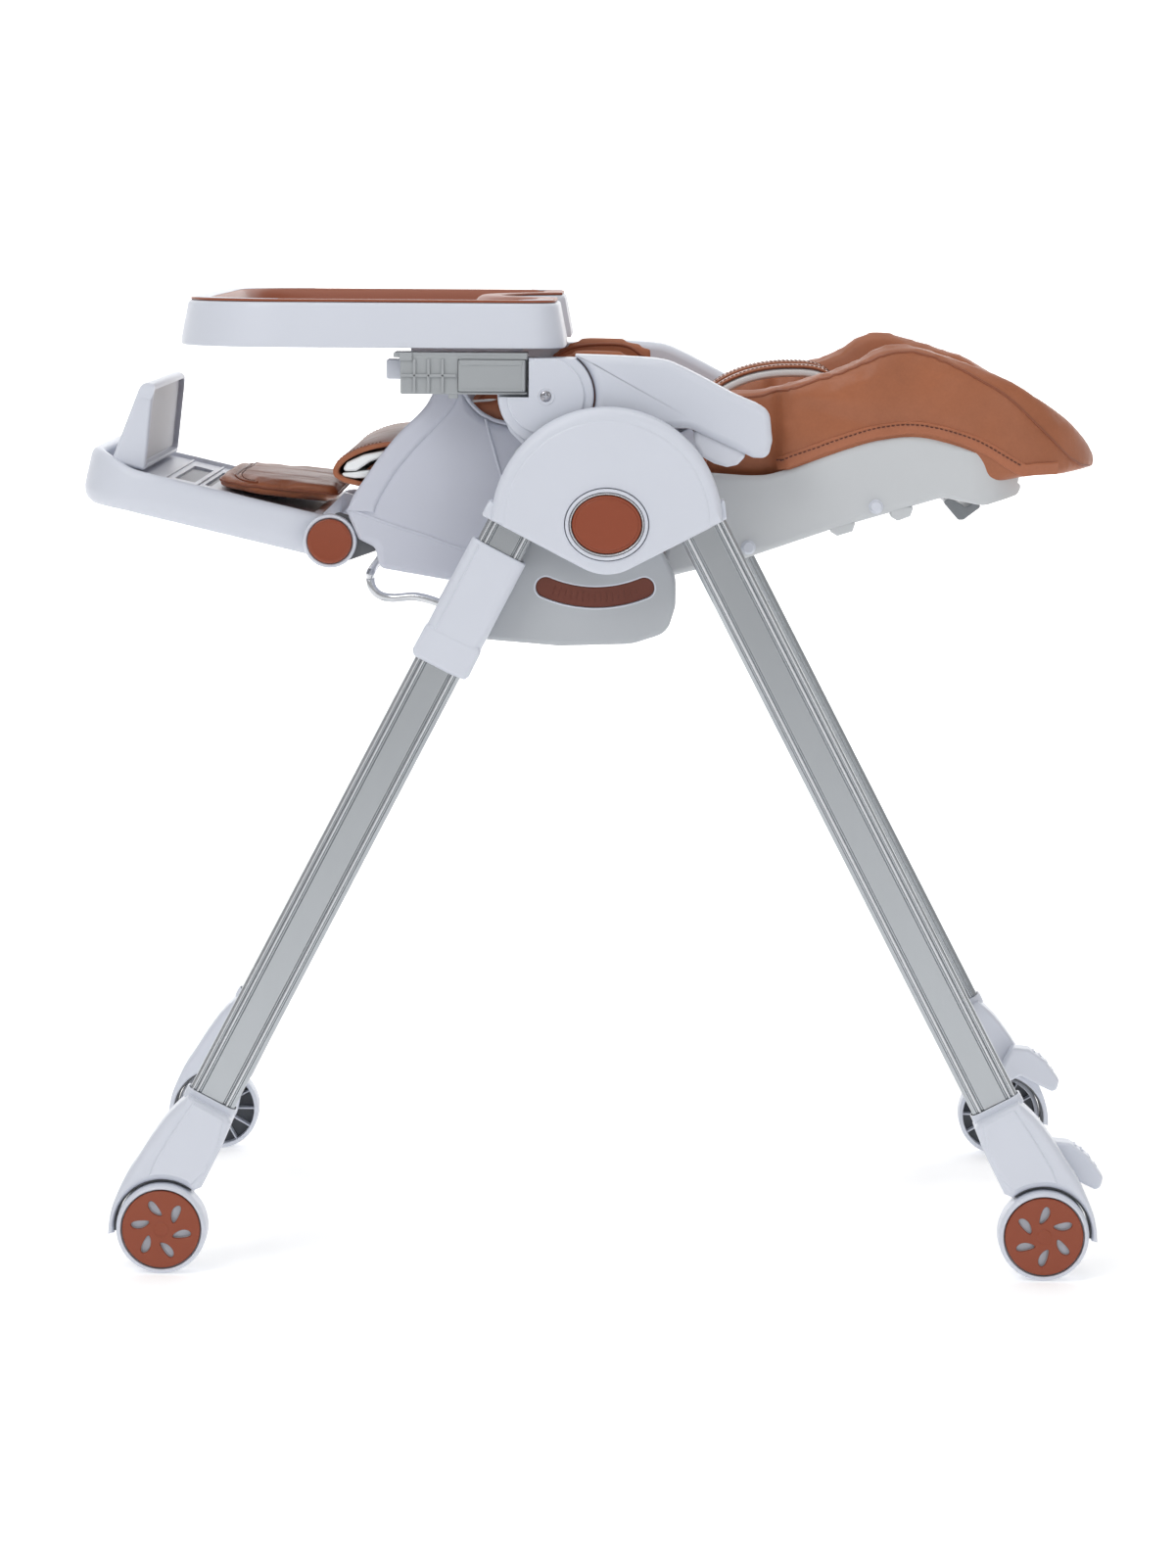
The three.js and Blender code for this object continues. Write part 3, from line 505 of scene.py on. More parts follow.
def plate(outline, x0, x1, rim, holes=(), back_rim=None, steps=4, hole_rim=None, put=None):
    """An outline drawn in Y and Z, thick from x0 to x1, with rounded rims. put maps (a, b, x) elsewhere."""
    put = put or (lambda a, b, x: (x, a, b))
    bm = bmesh.new()
    back_rim = rim if back_rim is None else back_rim
    loops = [turned_to(outline, True)] + [turned_to(hole, False) for hole in holes]
    ends = ([], [])
    for index, loop in enumerate(loops):
        front = rim if index == 0 or hole_rim is None else hole_rim
        back = back_rim if index == 0 or hole_rim is None else hole_rim
        widest = max(front, back)
        shares = None
        if index == 0 and widest > 0.3:
            shares = [min(1.0, limit / widest) for limit in room(loop)]
        rings = []
        for distance, side, shift in edge_profile(back, front, steps):
            moved = inset(loop, distance, shares) if distance > 1e-6 else loop
            x = (x1 if side else x0) + shift
            rings.append([bm.verts.new(put(a, b, x)) for a, b in moved])
        skin(bm, rings)
        ends[0].append(rings[0])
        ends[1].append(rings[-1])
    for rims in ends:
        if len(rims) == 1:
            bm.faces.new(rims[0])
            continue
        edges = [bm.edges.get((ring[i - 1], ring[i])) for ring in rims for i in range(len(ring))]
        bmesh.ops.triangle_fill(bm, use_beauty=True, use_dissolve=True, edges=edges)
    return from_bmesh(bm)


def spun(profile, y, z, count=96):
    """A closed profile of (radius, x) turned about an axis along X."""
    return loft([[(x, y + radius * math.cos(angle), z + radius * math.sin(angle))
                  for angle in whole_turn(count)] for radius, x in profile], closed=True)


def disc(radius, x0, x1, y, z, count=96):
    """A plain disc about an axis along X, with a pinhole at its centre."""
    return spun(rectangle(0.2, radius, x0, x1), y, z, count)


def tube(path, radius, sides, closed=False):
    """A round cord along a path of 3-D points; the radius may be a list, one for each point."""
    path = [Vector(point) for point in path]
    count = len(path)
    rings = []
    previous = None
    for i, point in enumerate(path):
        ahead = path[(i + 1) % count] if closed or i < count - 1 else point
        behind = path[i - 1] if closed or i > 0 else point
        along = (ahead - behind).normalized()
        if previous is None:
            previous = along.orthogonal().normalized()
        across = (previous - along * previous.dot(along)).normalized()
        up = along.cross(across)
        previous = across
        size = radius[i] if isinstance(radius, (list, tuple)) else radius
        rings.append([point + across * size * math.cos(angle) + up * size * math.sin(angle)
                      for angle in whole_turn(sides)])
    return loft(rings, closed, () if closed else (-1, 1))


def merged(*meshes):
    bm = bmesh.new()
    for mesh in meshes:
        bm.from_mesh(mesh)
    made = bpy.data.meshes.new("merged")
    bm.to_mesh(made)
    bm.free()
    return made


def carved(mesh, cutters, operation="DIFFERENCE"):
    """The mesh less each cutter (or cut to it)."""
    base = new_object("carving", mesh)
    tools = [new_object("cutter", cutter) for cutter in cutters]
    for tool in tools:
        modifier = base.modifiers.new("cut", "BOOLEAN")
        modifier.operation, modifier.object, modifier.solver = operation, tool, "EXACT"
    result = evaluated(base)
    for item in [base, *tools]:
        bpy.data.objects.remove(item)
    return result


def evaluated(piece):
    """The piece's mesh with its modifiers applied."""
    bpy.context.view_layer.update()
    graph = bpy.context.evaluated_depsgraph_get()
    return bpy.data.meshes.new_from_object(piece.evaluated_get(graph), depsgraph=graph)


# ---------------------------------------------------------------- CAD nodes that keep their shape
def dress(node, finish, width):
    """A CAD node shown as it is, with softened edges, smooth shading and its finish."""
    piece = frame["nodes"][node]
    smooth(piece.data).materials.clear()
    piece.data.materials.append(FINISH[finish])
    piece.modifiers.new("weld", "WELD").merge_threshold = 0.00002
    bevel = piece.modifiers.new("soft_edges", "BEVEL")
    bevel.width, bevel.segments, bevel.limit_method = width / 1000, 2, "ANGLE"
    bevel.angle_limit = math.radians(32)
    bevel.harden_normals = False
    piece.modifiers.new("even_normals", "WEIGHTED_NORMAL")


# ---------------------------------------------------------------- the legs' own frame
def on_leg(side, across, along, x):
    """side is -1 for the front legs and +1 for the rear; across and along are from the folding axis."""
    c, s = math.cos(LEG_TILT), math.sin(LEG_TILT)
    return x, side * (across * c + along * s), FOLD_Z + across * s - along * c


def along_leg(side, outline, start, end, rim, holes=()):
    """A section drawn as (across from the leg's middle, out from it), run down the leg from start to end."""
    def put(a, b, t):
        return on_leg(side, LEG_OFFSET + a, t, LEG_X + b)
    return plate(outline, start, end, rim, holes, put=put)


def leg_section():
    """A flat-oval extrusion, 42 by 20, with a bead down each edge and a groove beside it."""
    w, d, groove = 21, 10, 1.9
    face = [(w, 0, 4), (w, d - 4.6, 4.4), (w - 3.4, d - 0.6, 0.8), (w - 3.9, d - groove, 0.4),
            (w - 5.2, d - groove, 0.4), (w - 5.6, d, 0.9), (w - 8.4, d, 0.9), (w - 8.8, d - groove, 0.4),
            (w - 10.0, d - groove, 0.4), (w - 10.6, d - 0.4, 0.6)]
    back = [(-a, b, r) for a, b, r in face[::-1]]
    top = face + back
    bottom = [(-a, -b, r) for a, b, r in top]
    return fillet(top[1:-1] + bottom[1:-1], 1, 4)


for end, side in (("front", -1), ("rear", 1)):
    extrusion = along_leg(side, leg_section(), 8, 632, 0.8)
    both(f"{end}_leg_tube", extrusion, f"leg_{end}", f"{end}_frame", [f"{end}_leg_{{}}"])


def leg_highlight_lines(side):
    """Painted highlights: bright lines down a leg's outer face, one at one edge and two at the other,
    standing in for the reflections on its rounded edges.
    """
    return merged(*[tube([on_leg(side, LEG_OFFSET + across, t, LEG_X + 9.55) for t in (12, 628)], radius, 10)
                    for across, radius in ((-14.0, 1.25), (14.0, 1.25), (18.2, 1.0))])


# Bright lines on the legs' outer faces: painted highlights, drawn in the bright rod finish.
for end, side in (("front", -1), ("rear", 1)):
    both(f"{end}_leg_beads", leg_highlight_lines(side), "rod", f"{end}_frame")


# ---------------------------------------------------------------- feet, wheels and brakes
WHEEL_Y, WHEEL_Z = pivot("rear_wheel_left_spin")
WHEEL_IN, WHEEL_OUT = span("front_wheel_left")[:2]
FOOT_IN, FOOT_OUT = span("front_foot_left")[:2]


def foot_outline():
    """Drawn for the front foot: the boot's front curve, its mouth across the leg, and the wheel arch."""
    front = spline([(-425.4, 33), (-424.6, 45), (-420.5, 61), (-410, 84), (-400, 99), (-388, 118),
                    (-373, 138), (-356, 154)], 6)
    arch = arc(-WHEEL_Y, WHEEL_Z, 41.6, 50, 187, 34)
    return front + [(-321, 135.5), (-319, 130), (-328, 108), (-339, 86), (-345, 74)] + arch


def foot_parts():
    outline = turned_to(foot_outline(), True)
    boot = plate(outline, FOOT_IN, FOOT_OUT - 1.4, 7.5, back_rim=4, steps=8)
    face = fillet([(-352, 149, 2), (-324.5, 134, 4), (-331, 109, 30), (-342, 88, 12)]
                  + arc(-WHEEL_Y, WHEEL_Z, 46, 56, 104, 12) + [(-386, 96, 20), (-371, 121, 30)], 3, 4)
    facet = plate(face, FOOT_OUT - 6, FOOT_OUT, 2.4, back_rim=0.2, steps=5)
    web_side = fillet([(-397, 30), (-361, 30), (-350, 84), (-384, 96)], 13)
    web = plate(web_side, FOOT_IN + 0.5, WHEEL_IN - 3, 2.5)
    axle = disc(4, FOOT_IN + 2, WHEEL_OUT - 9, -WHEEL_Y, WHEEL_Z, 24)
    return merged(boot, facet, web, axle)


def arch_gap_shade():
    """A dark sheet behind the gap between the wheel and the foot's arch: painted shade that stands in for the
    shadow in that gap.
    """
    outer, inner = (arc(-WHEEL_Y, WHEEL_Z, radius, 52, 185, 34) for radius in (41.9, 39.9))
    return plate(outer + inner[::-1], FOOT_IN + 3, FOOT_OUT - 9, 0.2, steps=1)


def mouth_collar():
    """The rolled lip round the leg where it enters the foot."""
    outer = fillet(rectangle(-23.5, 23.5, -13, 13), 8)
    inner = fillet(rectangle(-21.3, 21.3, -10.3, 10.3), 7)
    return along_leg(-1, outer, 596.5, 606, 1.2, [inner])


def across_y(mesh):
    """The front end's drawing turned into the rear end's."""
    return mirrored(mesh, (0, 1, 0))


def wheel_parts(y):
    """A tyre with a flange for the cap, a boss and twelve ribs behind it; and the web between them, a dark
    disc that paints the shade inside the wheel's hollow back.
    """
    lip, web_in, web_out, seat = WHEEL_OUT, 288.5, 290.5, 294
    tyre = spun([(34.9, web_in), (34.9, WHEEL_IN + 0.6), (35.5, WHEEL_IN), (37.0, WHEEL_IN),
                 (38.4, WHEEL_IN + 0.8), (39.0, WHEEL_IN + 2.6), (39.0, lip - 6), (38.7, lip - 3.6),
                 (37.9, lip - 1.6), (36.7, lip - 0.4), (35.6, lip), (35.0, lip - 0.3), (34.8, lip - 1),
                 (34.8, seat), (4.6, seat), (4.6, web_out), (34.9, web_out)], y, WHEEL_Z, 120)
    boss = spun([(4.6, WHEEL_IN - 0.8), (9.2, WHEEL_IN - 0.8), (10, WHEEL_IN), (10, 291), (4.6, 291)],
                y, WHEEL_Z, 48)
    ribs = []
    for angle in whole_turn(12):
        rib = plate(fillet(rectangle(9, 35.2, -0.8, 0.8), 0.3, 1), 276.5, 291, 0.5, steps=1)
        rib.transform(Matrix.Translation((0, y, WHEEL_Z)) @ Matrix.Rotation(angle, 4, "X"))
        ribs.append(rib)
    # Dark disc behind the ribs: painted shade for the hollow inside of the wheel.
    core = spun(rectangle(9.8, 35.0, 286.8, 290.4), y, WHEEL_Z, 72)
    return merged(tyre, boss, *ribs), core


def bean(angle, lean):
    """A slot of the wheel cap: a fat drop that leans away from the wheel's centre line."""
    reach, length, width = 18.6, 8.0, 3.5
    points = []
    for a, b in oval(0, 0, length, width, 32):
        bent = b * (1 + 0.22 * a / length) + math.copysign(0.9, lean) * (1 - (a / length) ** 2)
        axis = angle + lean
        points.append((reach * math.cos(angle) + a * math.cos(axis) - bent * math.sin(axis),
                       reach * math.sin(angle) + a * math.sin(axis) + bent * math.cos(axis)))
    return points


def cap_parts(y):
    """The brown disc with its six slots and its hub; and the pale lining of the slots."""
    x1 = WHEEL_OUT - 0.5
    first, lean = (0.78, 0.45) if y < 0 else (0.55, -0.42)
    slots = [turned_to(bean(angle + first, lean), True) for angle in whole_turn(6)]
    face = plate(oval(0, 0, 33.6, 33.6, 120), x1 - 5, x1, 1.3, slots, 0.6, steps=3, hole_rim=0.9)
    hub = spun([(0.2, x1 - 1), (6.5, x1 - 1), (6.5, x1 - 0.1), (5.9, x1 + 0.4), (0.2, x1 + 0.4)], 0, 0, 48)
    lining = merged(*[plate(inset(slot, -0.7), x1 - 5.3, x1 - 3.2, 0.4, [inset(slot, 0.9)], steps=2)
                      for slot in slots])
    face = merged(face, hub)
    for mesh in (face, lining):
        mesh.transform(Matrix.Translation((0, y, WHEEL_Z)))
    return face, lining


def brake_pedal():
    outline = fillet([(374, 84), (388, 113), (404, 111.5), (419, 101), (433, 82), (430, 69), (413, 77),
                      (396, 86), (382, 78)], 5)
    x0, x1 = span("brake_pedal_left")[0], FOOT_IN - 0.4
    pad = plate(outline, x0, x1, 3, steps=5)
    grip = [tube([(x, y, z) for x in (x0 + 5, x1 - 5)], 1.0, 10)
            for y, z in ((409, 108.4), (415, 104.4), (421, 98.4), (426.5, 91))]
    return merged(pad, *grip)


for end, sign in (("front", 1), ("rear", -1)):
    turn = across_y if end == "rear" else (lambda mesh: mesh)
    both(f"{end}_foot_boot", turn(foot_parts()), "white", f"{end}_frame", [f"{end}_foot_{{}}"], angle=30)
    both(f"{end}_foot_collar", turn(mouth_collar()), "white", f"{end}_frame")
    # A dark sheet in the wheel arch's gap: painted shade.
    both(f"{end}_foot_arch_liner", turn(arch_gap_shade()), "dark", f"{end}_frame")
    tyre, core = wheel_parts(-sign * WHEEL_Y)
    wheel_body = f"{end}_wheel_{{}}"
    both(f"{end}_wheel_rim", tyre, "white", wheel_body, [f"{end}_wheel_{{}}"])
    # The wheel's dark inner disc: painted shade inside its hollow back.
    both(f"{end}_wheel_core", core, "hollow", wheel_body)
    face, lining = cap_parts(-sign * WHEEL_Y)
    both(f"{end}_wheel_disc", face, "brown", wheel_body, [f"{end}_wheel_cap_{{}}"])
    both(f"{end}_wheel_slots", lining, "plate", wheel_body)
    dress(f"{end}_crossbar", "rod", 1.0)
both("brake_pedal_pad", brake_pedal(), "white", "brake_{}", ["brake_pedal_{}"])


# ---------------------------------------------------------------- hubs
HUB = 98.0
HUB_LOBE = 42.5
HUB_BACK, HUB_FACE = span("hub_cover_left")[:2]
HUB_PLATE = HUB_FACE - 11


def hub_outline(radius=HUB):
    mouth = math.degrees(math.acos(HUB_LOBE / radius) + LEG_TILT - math.pi / 2)
    tilt = math.degrees(LEG_TILT)
    dome = arc(0, FOLD_Z, radius, mouth, 180 - mouth, 90)
    lobe = arc(0, FOLD_Z, HUB_LOBE, -90 - tilt, -90 + tilt, 24)
    return [(a, b, 4.0) for a, b in dome[:1]] + dome[1:-1] + [(a, b, 4.0) for a, b in dome[-1:]] + lobe


def leg_block(side, across0, across1, along0, along1):
    corners = rectangle(across0, across1, along0, along1)
    return [on_leg(side, a, b, 0)[1:] for a, b in corners]


def hub_cover():
    outline = turned_to(fillet(hub_outline(), 0.0, 5), True)
    slab = plate(outline, HUB_BACK, HUB_FACE - 0.8, 8.5, back_rim=1.0, steps=9)
    cavity = disc(HUB - 3.4, HUB_BACK - 2, HUB_PLATE, 0, FOLD_Z)
    rear_bay = plate(rectangle(-60, 112, FOLD_Z - 112, FOLD_Z + 26), HUB_BACK - 2, HUB_PLATE, 0, steps=1)
    eye = oval(0, FOLD_Z, 35.9, 31.1, 72)
    pocket = plate(eye, HUB_PLATE + 2, HUB_FACE + 3, 0, steps=1)
    shell = carved(slab, [cavity, rear_bay, pocket])
    panel = plate(inset(turned_to(hub_outline(HUB - 9.5), True), 0), HUB_PLATE + 4, HUB_FACE, 3.2, [eye], 0.2,
                  steps=6, hole_rim=0.5)
    socket = plate(fillet(leg_block(-1, 46, 94, 20, 42), 4), HUB_BACK + 0.5, HUB_PLATE + 1, 1.5)
    collar = plate(fillet(leg_block(-1, 43.5, 97.5, 28.5, 42.8), 2.5), HUB_BACK + 1, HUB_PLATE + 5.5, 3.0)
    return merged(shell, panel, socket, collar)


def hub_ring(outer, inner, raised, rim, steps):
    """An oval ring round the fold button, that stands out from the hub's face."""
    return plate(oval(0, FOLD_Z, *outer, 84), HUB_FACE - 7, HUB_FACE + raised, rim,
                 [oval(0, FOLD_Z, *inner, 84)], steps=steps)


def fold_button():
    x0, x1 = span("fold_button_left")[:2]
    body = plate(oval(0, FOLD_Z, 29.6, 24.8, 84), x0, x1 - 0.2, 1.4, back_rim=0.5, steps=5)
    crown = plate(oval(0, FOLD_Z, 27.2, 22.4, 84), x1 - 2, x1 + 0.5, 1.2, back_rim=0.2, steps=5)
    return merged(body, crown)


def rear_hub():
    face = HUB_PLATE - 0.4
    eye = spun([(0.2, HUB_BACK), (37, HUB_BACK), (38, HUB_BACK + 1), (38, HUB_PLATE - 1.4), (37, face),
                (0.2, face)], 0, FOLD_Z, 72)
    block = plate(fillet(leg_block(1, 20, 94, -16, 41), 5), HUB_BACK, face, 1.6)
    collar = plate(fillet(leg_block(1, 44, 97.8, 27, 42.6), 2.5), HUB_BACK + 0.5, face, 2.6)
    block_round, collar_round = (disc(radius, HUB_BACK - 3, HUB_PLATE + 2, 0, FOLD_Z, count)
                                 for radius, count in ((93.5, 96), (101.5, 120)))
    return merged(eye, carved(block, [block_round], "INTERSECT"), carved(collar, [collar_round], "INTERSECT"))


both("hub_dome", hub_cover(), "white", "front_frame", ["hub_cover_{}"], angle=30)
both("hub_button_ring", hub_ring((35.2, 30.4), (32.2, 27.4), 2.4, 1.3, 6), "white", "front_frame")
both("hub_button_bezel", hub_ring((31.7, 26.9), (30.2, 25.4), 1.0, 0.6, 4), "rod", "front_frame")
both("fold_button_pad", fold_button(), "brown", "fold_button_{}", ["fold_button_{}"])
both("rear_hub_block", rear_hub(), "white", "rear_frame", ["rear_hub_{}"], angle=30)
for side in SIDES:
    dress(f"hub_axle_{side}", "rod", 0.6)


# ---------------------------------------------------------------- the sleeves that carry the seat
def sleeve():
    """A moulded tube round each front leg, with a rounded lobe at its lower end."""
    outer = fillet(rectangle(-25.5, 25.5, -14, 14), 9, 8)
    inner = fillet(rectangle(-21.4, 21.4, -10.4, 10.4), 8, 6)
    tube_part = along_leg(-1, outer, 63, 171, 2.0, [inner])
    lobe_line = [(-26.4, 144, 5), (-27.0, 170, 4), (-25, 174.5, 3), (-10, 176, 6), (23, 176, 4),
                 (26.6, 172, 3), (26.3, 146, 5)]
    lobe_side = fillet([(*on_leg(-1, LEG_OFFSET + a, t, 0)[1:], r) for a, t, r in lobe_line], 5)
    lobe = plate(lobe_side, LEG_X - 14.6, LEG_X + 14.6, 4)
    ridge = [on_leg(-1, LEG_OFFSET + 17.5, t, LEG_X + 13.7) for t in (67, 90, 130, 168)]
    return merged(tube_part, lobe, tube(ridge, 0.9, 10))


both("leg_sleeve_tube", sleeve(), "white", "seat", ["leg_sleeve_{}"])


# ---------------------------------------------------------------- side brackets and their curved triggers
BRACKET_OUT = span("side_bracket_left")[1]
BRACKET_IN = BRACKET_OUT - 7.5
SMILE = (-10, 690, 108)  # the curved slot's centre, y and z, and its radius


def trigger_outline(half):
    """A band of constant width along a smile."""
    y, z, radius = SMILE
    start, end = math.degrees(-math.pi / 2 - 0.4), math.degrees(-math.pi / 2 + 0.4)

    def end_arc(angle, first, last):
        a = math.radians(angle)
        return arc(y + radius * math.cos(a), z + radius * math.sin(a), half, first, last, 12)
    return (arc(y, z, radius + half, start, end, 32)[:-1] + end_arc(end, end, end + 180)
            + arc(y, z, radius - half, end, start, 32)[1:-1] + end_arc(start, start + 180, start + 360)[:-1])


def side_bracket():
    outline = fillet([(-128, 552, 8), (-103, 545, 30), (-40, 540, 60), (22, 542, 40), (52, 552, 18),
                      (59, 575, 20), (59, 600, 26), (44, 630), (40, 700), (-20, 712), (-80, 712),
                      (-84, 640)], 12, 8)
    skirt = fillet([(-110, 549), (-40, 543), (22, 545), (49, 555), (55, 576), (54, 608), (-98, 608)], 10)
    face = plate(outline, BRACKET_IN, BRACKET_OUT, 4.5, [trigger_outline(9.2)], 0.8, steps=6, hole_rim=0.6)
    back = plate(skirt, BRACKET_IN - 14, BRACKET_IN + 1, 2.5, [trigger_outline(9.2)], steps=4, hole_rim=0.4)
    return merged(face, back)


def trigger_lip():
    x = BRACKET_OUT
    return plate(trigger_outline(10.4), x - 1.2, x + 0.15, 0.5, [trigger_outline(9.0)], steps=3)


def trigger():
    body = plate(trigger_outline(8.6), BRACKET_OUT - 4, BRACKET_OUT - 1.4, 0.9, back_rim=0.4, steps=3)
    y, z, radius = SMILE
    grips = []
    for k in range(-7, 8):
        angle = -math.pi / 2 + k * 0.047
        ends = [(BRACKET_OUT - 1.5, y + r * math.cos(angle), z + r * math.sin(angle))
                for r in (radius - 4, radius + 4)]
        grips.append(tube(ends, 0.55, 8))
    return merged(body, *grips)


both("side_bracket_panel", side_bracket(), "bracket", "seat", ["side_bracket_{}"], angle=30)
both("side_bracket_lip", trigger_lip(), "white", "seat")
# The trigger's darker brown is partly its own colour, partly painted shade from the recess round it.
both("height_trigger_bar", trigger(), "brown_recess_shaded", "height_trigger_{}", ["height_trigger_{}"])


# ---------------------------------------------------------------- rod loop under the seat
def rod():
    half = [(229, -99, 561), (212, -112, 560), (188, -140, 569), (173, -165, 575), (168.5, -187, 573.5),
            (167.5, -199, 576), (166.5, -205.5, 583), (163, -207, 591), (150, -206, 597)]
    path = half + [(-x, y, z) for x, y, z in half[::-1]]
    return tube(spline(path, 10), 3.8, 20)


place("under_seat_rod_bend", rod(), "rod", "seat", ["under_seat_rod"])


# ---------------------------------------------------------------- seat shell
SEAT_IN = 191
SEAT_OUT = 195


def seat_outline():
    front = spline([(-227, 651), (-219, 666), (-209, 681), (-196, 700), (-180, 719), (-160, 739),
                    (-151.5, 752)], 5)
    top = [(-151, 757, 3), (-126, 757, 3)]
    back = spline([(-124, 752), (-117, 742), (-106, 733), (-88, 727), (-40, 722), (10, 712), (50, 700)], 5)
    rear = [(58, 660, 20), (58, 640, 20), (34, 600, 20), (-60, 591, 20), (-139, 591, 20), (-197, 601, 6),
            (-202, 619, 6), (-216, 626, 6)]
    return fillet(front + top + back + rear, 0, 5)


def seat_shell():
    body = plate(seat_outline(), -SEAT_OUT, SEAT_OUT, 9, steps=8)
    hollow = plate([(-260, 655), (-212, 642), (-150, 606), (90, 600), (90, 800), (-260, 800)], -SEAT_IN,
                   SEAT_IN, 0, steps=1)
    return carved(body, [hollow])


def seat_band():
    """The raised flange along the wing's front edge, and the soft valley behind it."""
    front = [(-226, 651), (-219, 666), (-209, 681), (-196, 700), (-180, 719), (-160, 739), (-152, 752),
             (-150, 755)]
    inner = [(-128, 755), (-131, 744), (-136, 736), (-150, 721), (-168, 702), (-184, 682), (-196, 662),
             (-202, 649)]
    return plate(spline(front, 5) + spline(inner, 5), SEAT_OUT - 6, SEAT_OUT + 2.6, 5.5, back_rim=0.5,
                 steps=7)


def seat_ridges():
    """Three raised lines on the wing: an upright one, a lip along its top, and a fold along its foot."""
    line = [(0.1, -106, 731), (0.3, -99, 706), (0.1, -91, 678)]
    lip = [(-2.2, y, z) for y, z in
           [(-125, 754), (-117, 742.5), (-106, 733.5), (-88, 727.5), (-40, 722.5), (10, 712.5)]]
    fold = [(-0.5, y, z) for y, z in
            [(-222, 652), (-203, 645), (-182, 637.5), (-159, 630.5), (-131, 620.5), (-100, 612)]]
    return merged(*[tube(spline([(SEAT_OUT + out, y, z) for out, y, z in path], per), radius, sides)
                    for path, per, radius, sides in ((line, 8, 1.3, 10), (lip, 6, 1.9, 12),
                                                     (fold, 6, 1.5, 12))])


def footrest_mount():
    """The hinge arm beside the footrest, dark behind its white pivot ring."""
    py, pz = pivot("footrest_tilt")
    neck = fillet([(py - 8, pz + 12), (py + 6, pz + 25), (-203, 640), (-194, 618), (py + 8, pz - 20),
                   (py - 8, pz - 12)], 6)
    arm = plate(neck, 174, 182.4, 1.8)
    ring = spun([(0.2, 174), (22, 174), (23.3, 175.4), (23.3, 186.6), (22.7, 188.2), (21.7, 188.7),
                 (20.5, 188.5), (19.9, 187.8), (19.9, 182.6), (0.2, 182.6)], py, pz)
    return arm, ring


def footrest_button():
    py, pz = pivot("footrest_tilt")
    x0, x1 = span("footrest_button_left")[:2]
    return spun([(0.2, x0), (18.3, x0), (19.3, x0 + 0.9), (19.3, x1 - 1.6), (18.8, x1 - 0.5), (17.8, x1),
                 (15.5, x1), (14.7, x1 - 0.5), (0.2, x1 - 0.5)], py, pz)


arm, ring = footrest_mount()
place("seat_shell_body", seat_shell(), "shell", "seat", ["seat_shell"], angle=32)
both("seat_shell_flange", seat_band(), "shell", "seat", angle=30)
both("seat_shell_ridges", seat_ridges(), "shell", "seat")
both("footrest_hinge_arm", arm, "dark", "seat")
both("footrest_hinge_ring", ring, "white", "seat")
both("footrest_button_disc", footrest_button(), "brown", "footrest_button_{}", ["footrest_button_{}"])


# ---------------------------------------------------------------- arms
ARM_Y, ARM_Z = pivot("armrest_left_tilt")


def arm_hub():
    """The round boss that the arm turns on, its neck down to the bracket, and the shelf under the rail."""
    inner, outer = SEAT_OUT + 0.4, 246.6
    boss = spun([(0.2, inner), (39.5, inner), (41, inner + 1.5), (41, outer - 3), (40, outer - 1),
                 (38, outer), (0.2, outer)], ARM_Y, ARM_Z)
    face = spun([(0.2, 245), (33, 245), (33, 247.8), (32, 248.9), (0.2, 248.9)], ARM_Y, ARM_Z)
    neck = plate(fillet([(-96, 766), (-94, 745), (-84, 722), (-70, 708), (-60, 700), (-20, 700), (-12, 720),
                         (-40, 766)], 6), inner + 12, 234, 4, steps=5)
    shelf = plate(fillet(rectangle(-190, -60, 766, 783), 2), 209, 226, 1.5)
    ceiling = plate(rectangle(-120, 10, 785, 820), 180, 260, 0, steps=1)
    bay = plate(rectangle(-113, -67.5, 752, 800), 226.5, 260, 0, steps=1)
    return merged(carved(boss, [ceiling, bay]), neck, shelf, carved(face, [bay, ceiling]))


def arm_screw():
    """A pan-head screw with a cross recess, sunk in the boss."""
    head = spun([(0.2, 246.6), (5.6, 246.6), (5.6, 247.6), (4.9, 248.9), (3.2, 249.7), (0.2, 249.9)],
                ARM_Y, ARM_Z, 48)
    slots = [plate(fillet(rectangle(ARM_Y - a, ARM_Y + a, ARM_Z - b, ARM_Z + b), 0.2, 1), 248.4, 252, 0,
                   steps=1) for a, b in ((3.2, 0.65), (0.65, 3.2))]
    return carved(head, slots)


def screw_ring():
    return spun([(5.9, 248.4), (6.6, 249.4), (7.3, 249.4), (7.8, 248.6), (7.8, 248.0), (5.9, 248.0)],
                ARM_Y, ARM_Z, 64)


def armrest_outline():
    top = spline([(-28, 788.3), (14, 787), (46, 784.5), (64, 778), (84, 768), (108, 755.5), (126, 748)], 5)
    end = [(138, 741, 12), (140.5, 716, 10), (137, 701, 8), (124, 701.5, 6), (108, 709, 20), (70, 726, 20),
           (10, 726, 8), (-22, 724, 2)]
    nose = arc(ARM_Y, ARM_Z, 42.2, -41, 54, 26)
    return fillet(top + end + nose, 0, 8)


def armrest():
    x0, x1 = span("armrest_left")[:2]
    body = plate(armrest_outline(), x0, x1, 7.5, steps=8)
    pocket = plate([(71, 690), (121, 690), (121, 719), (92, 732), (71, 737)], x0 + 7, x1 - 7, 0, steps=1)
    return carved(body, [pocket])


def arm_lever():
    x0, x1 = span("armrest_lever_left")[:2]
    outline = fillet([(73.5, 728), (73.5, 713), (80, 702), (91, 696), (102, 693), (111, 695), (117.6, 702),
                      (116.5, 713), (92, 724)], 5, 6)
    return plate(outline, x0, x1, 4, steps=6)


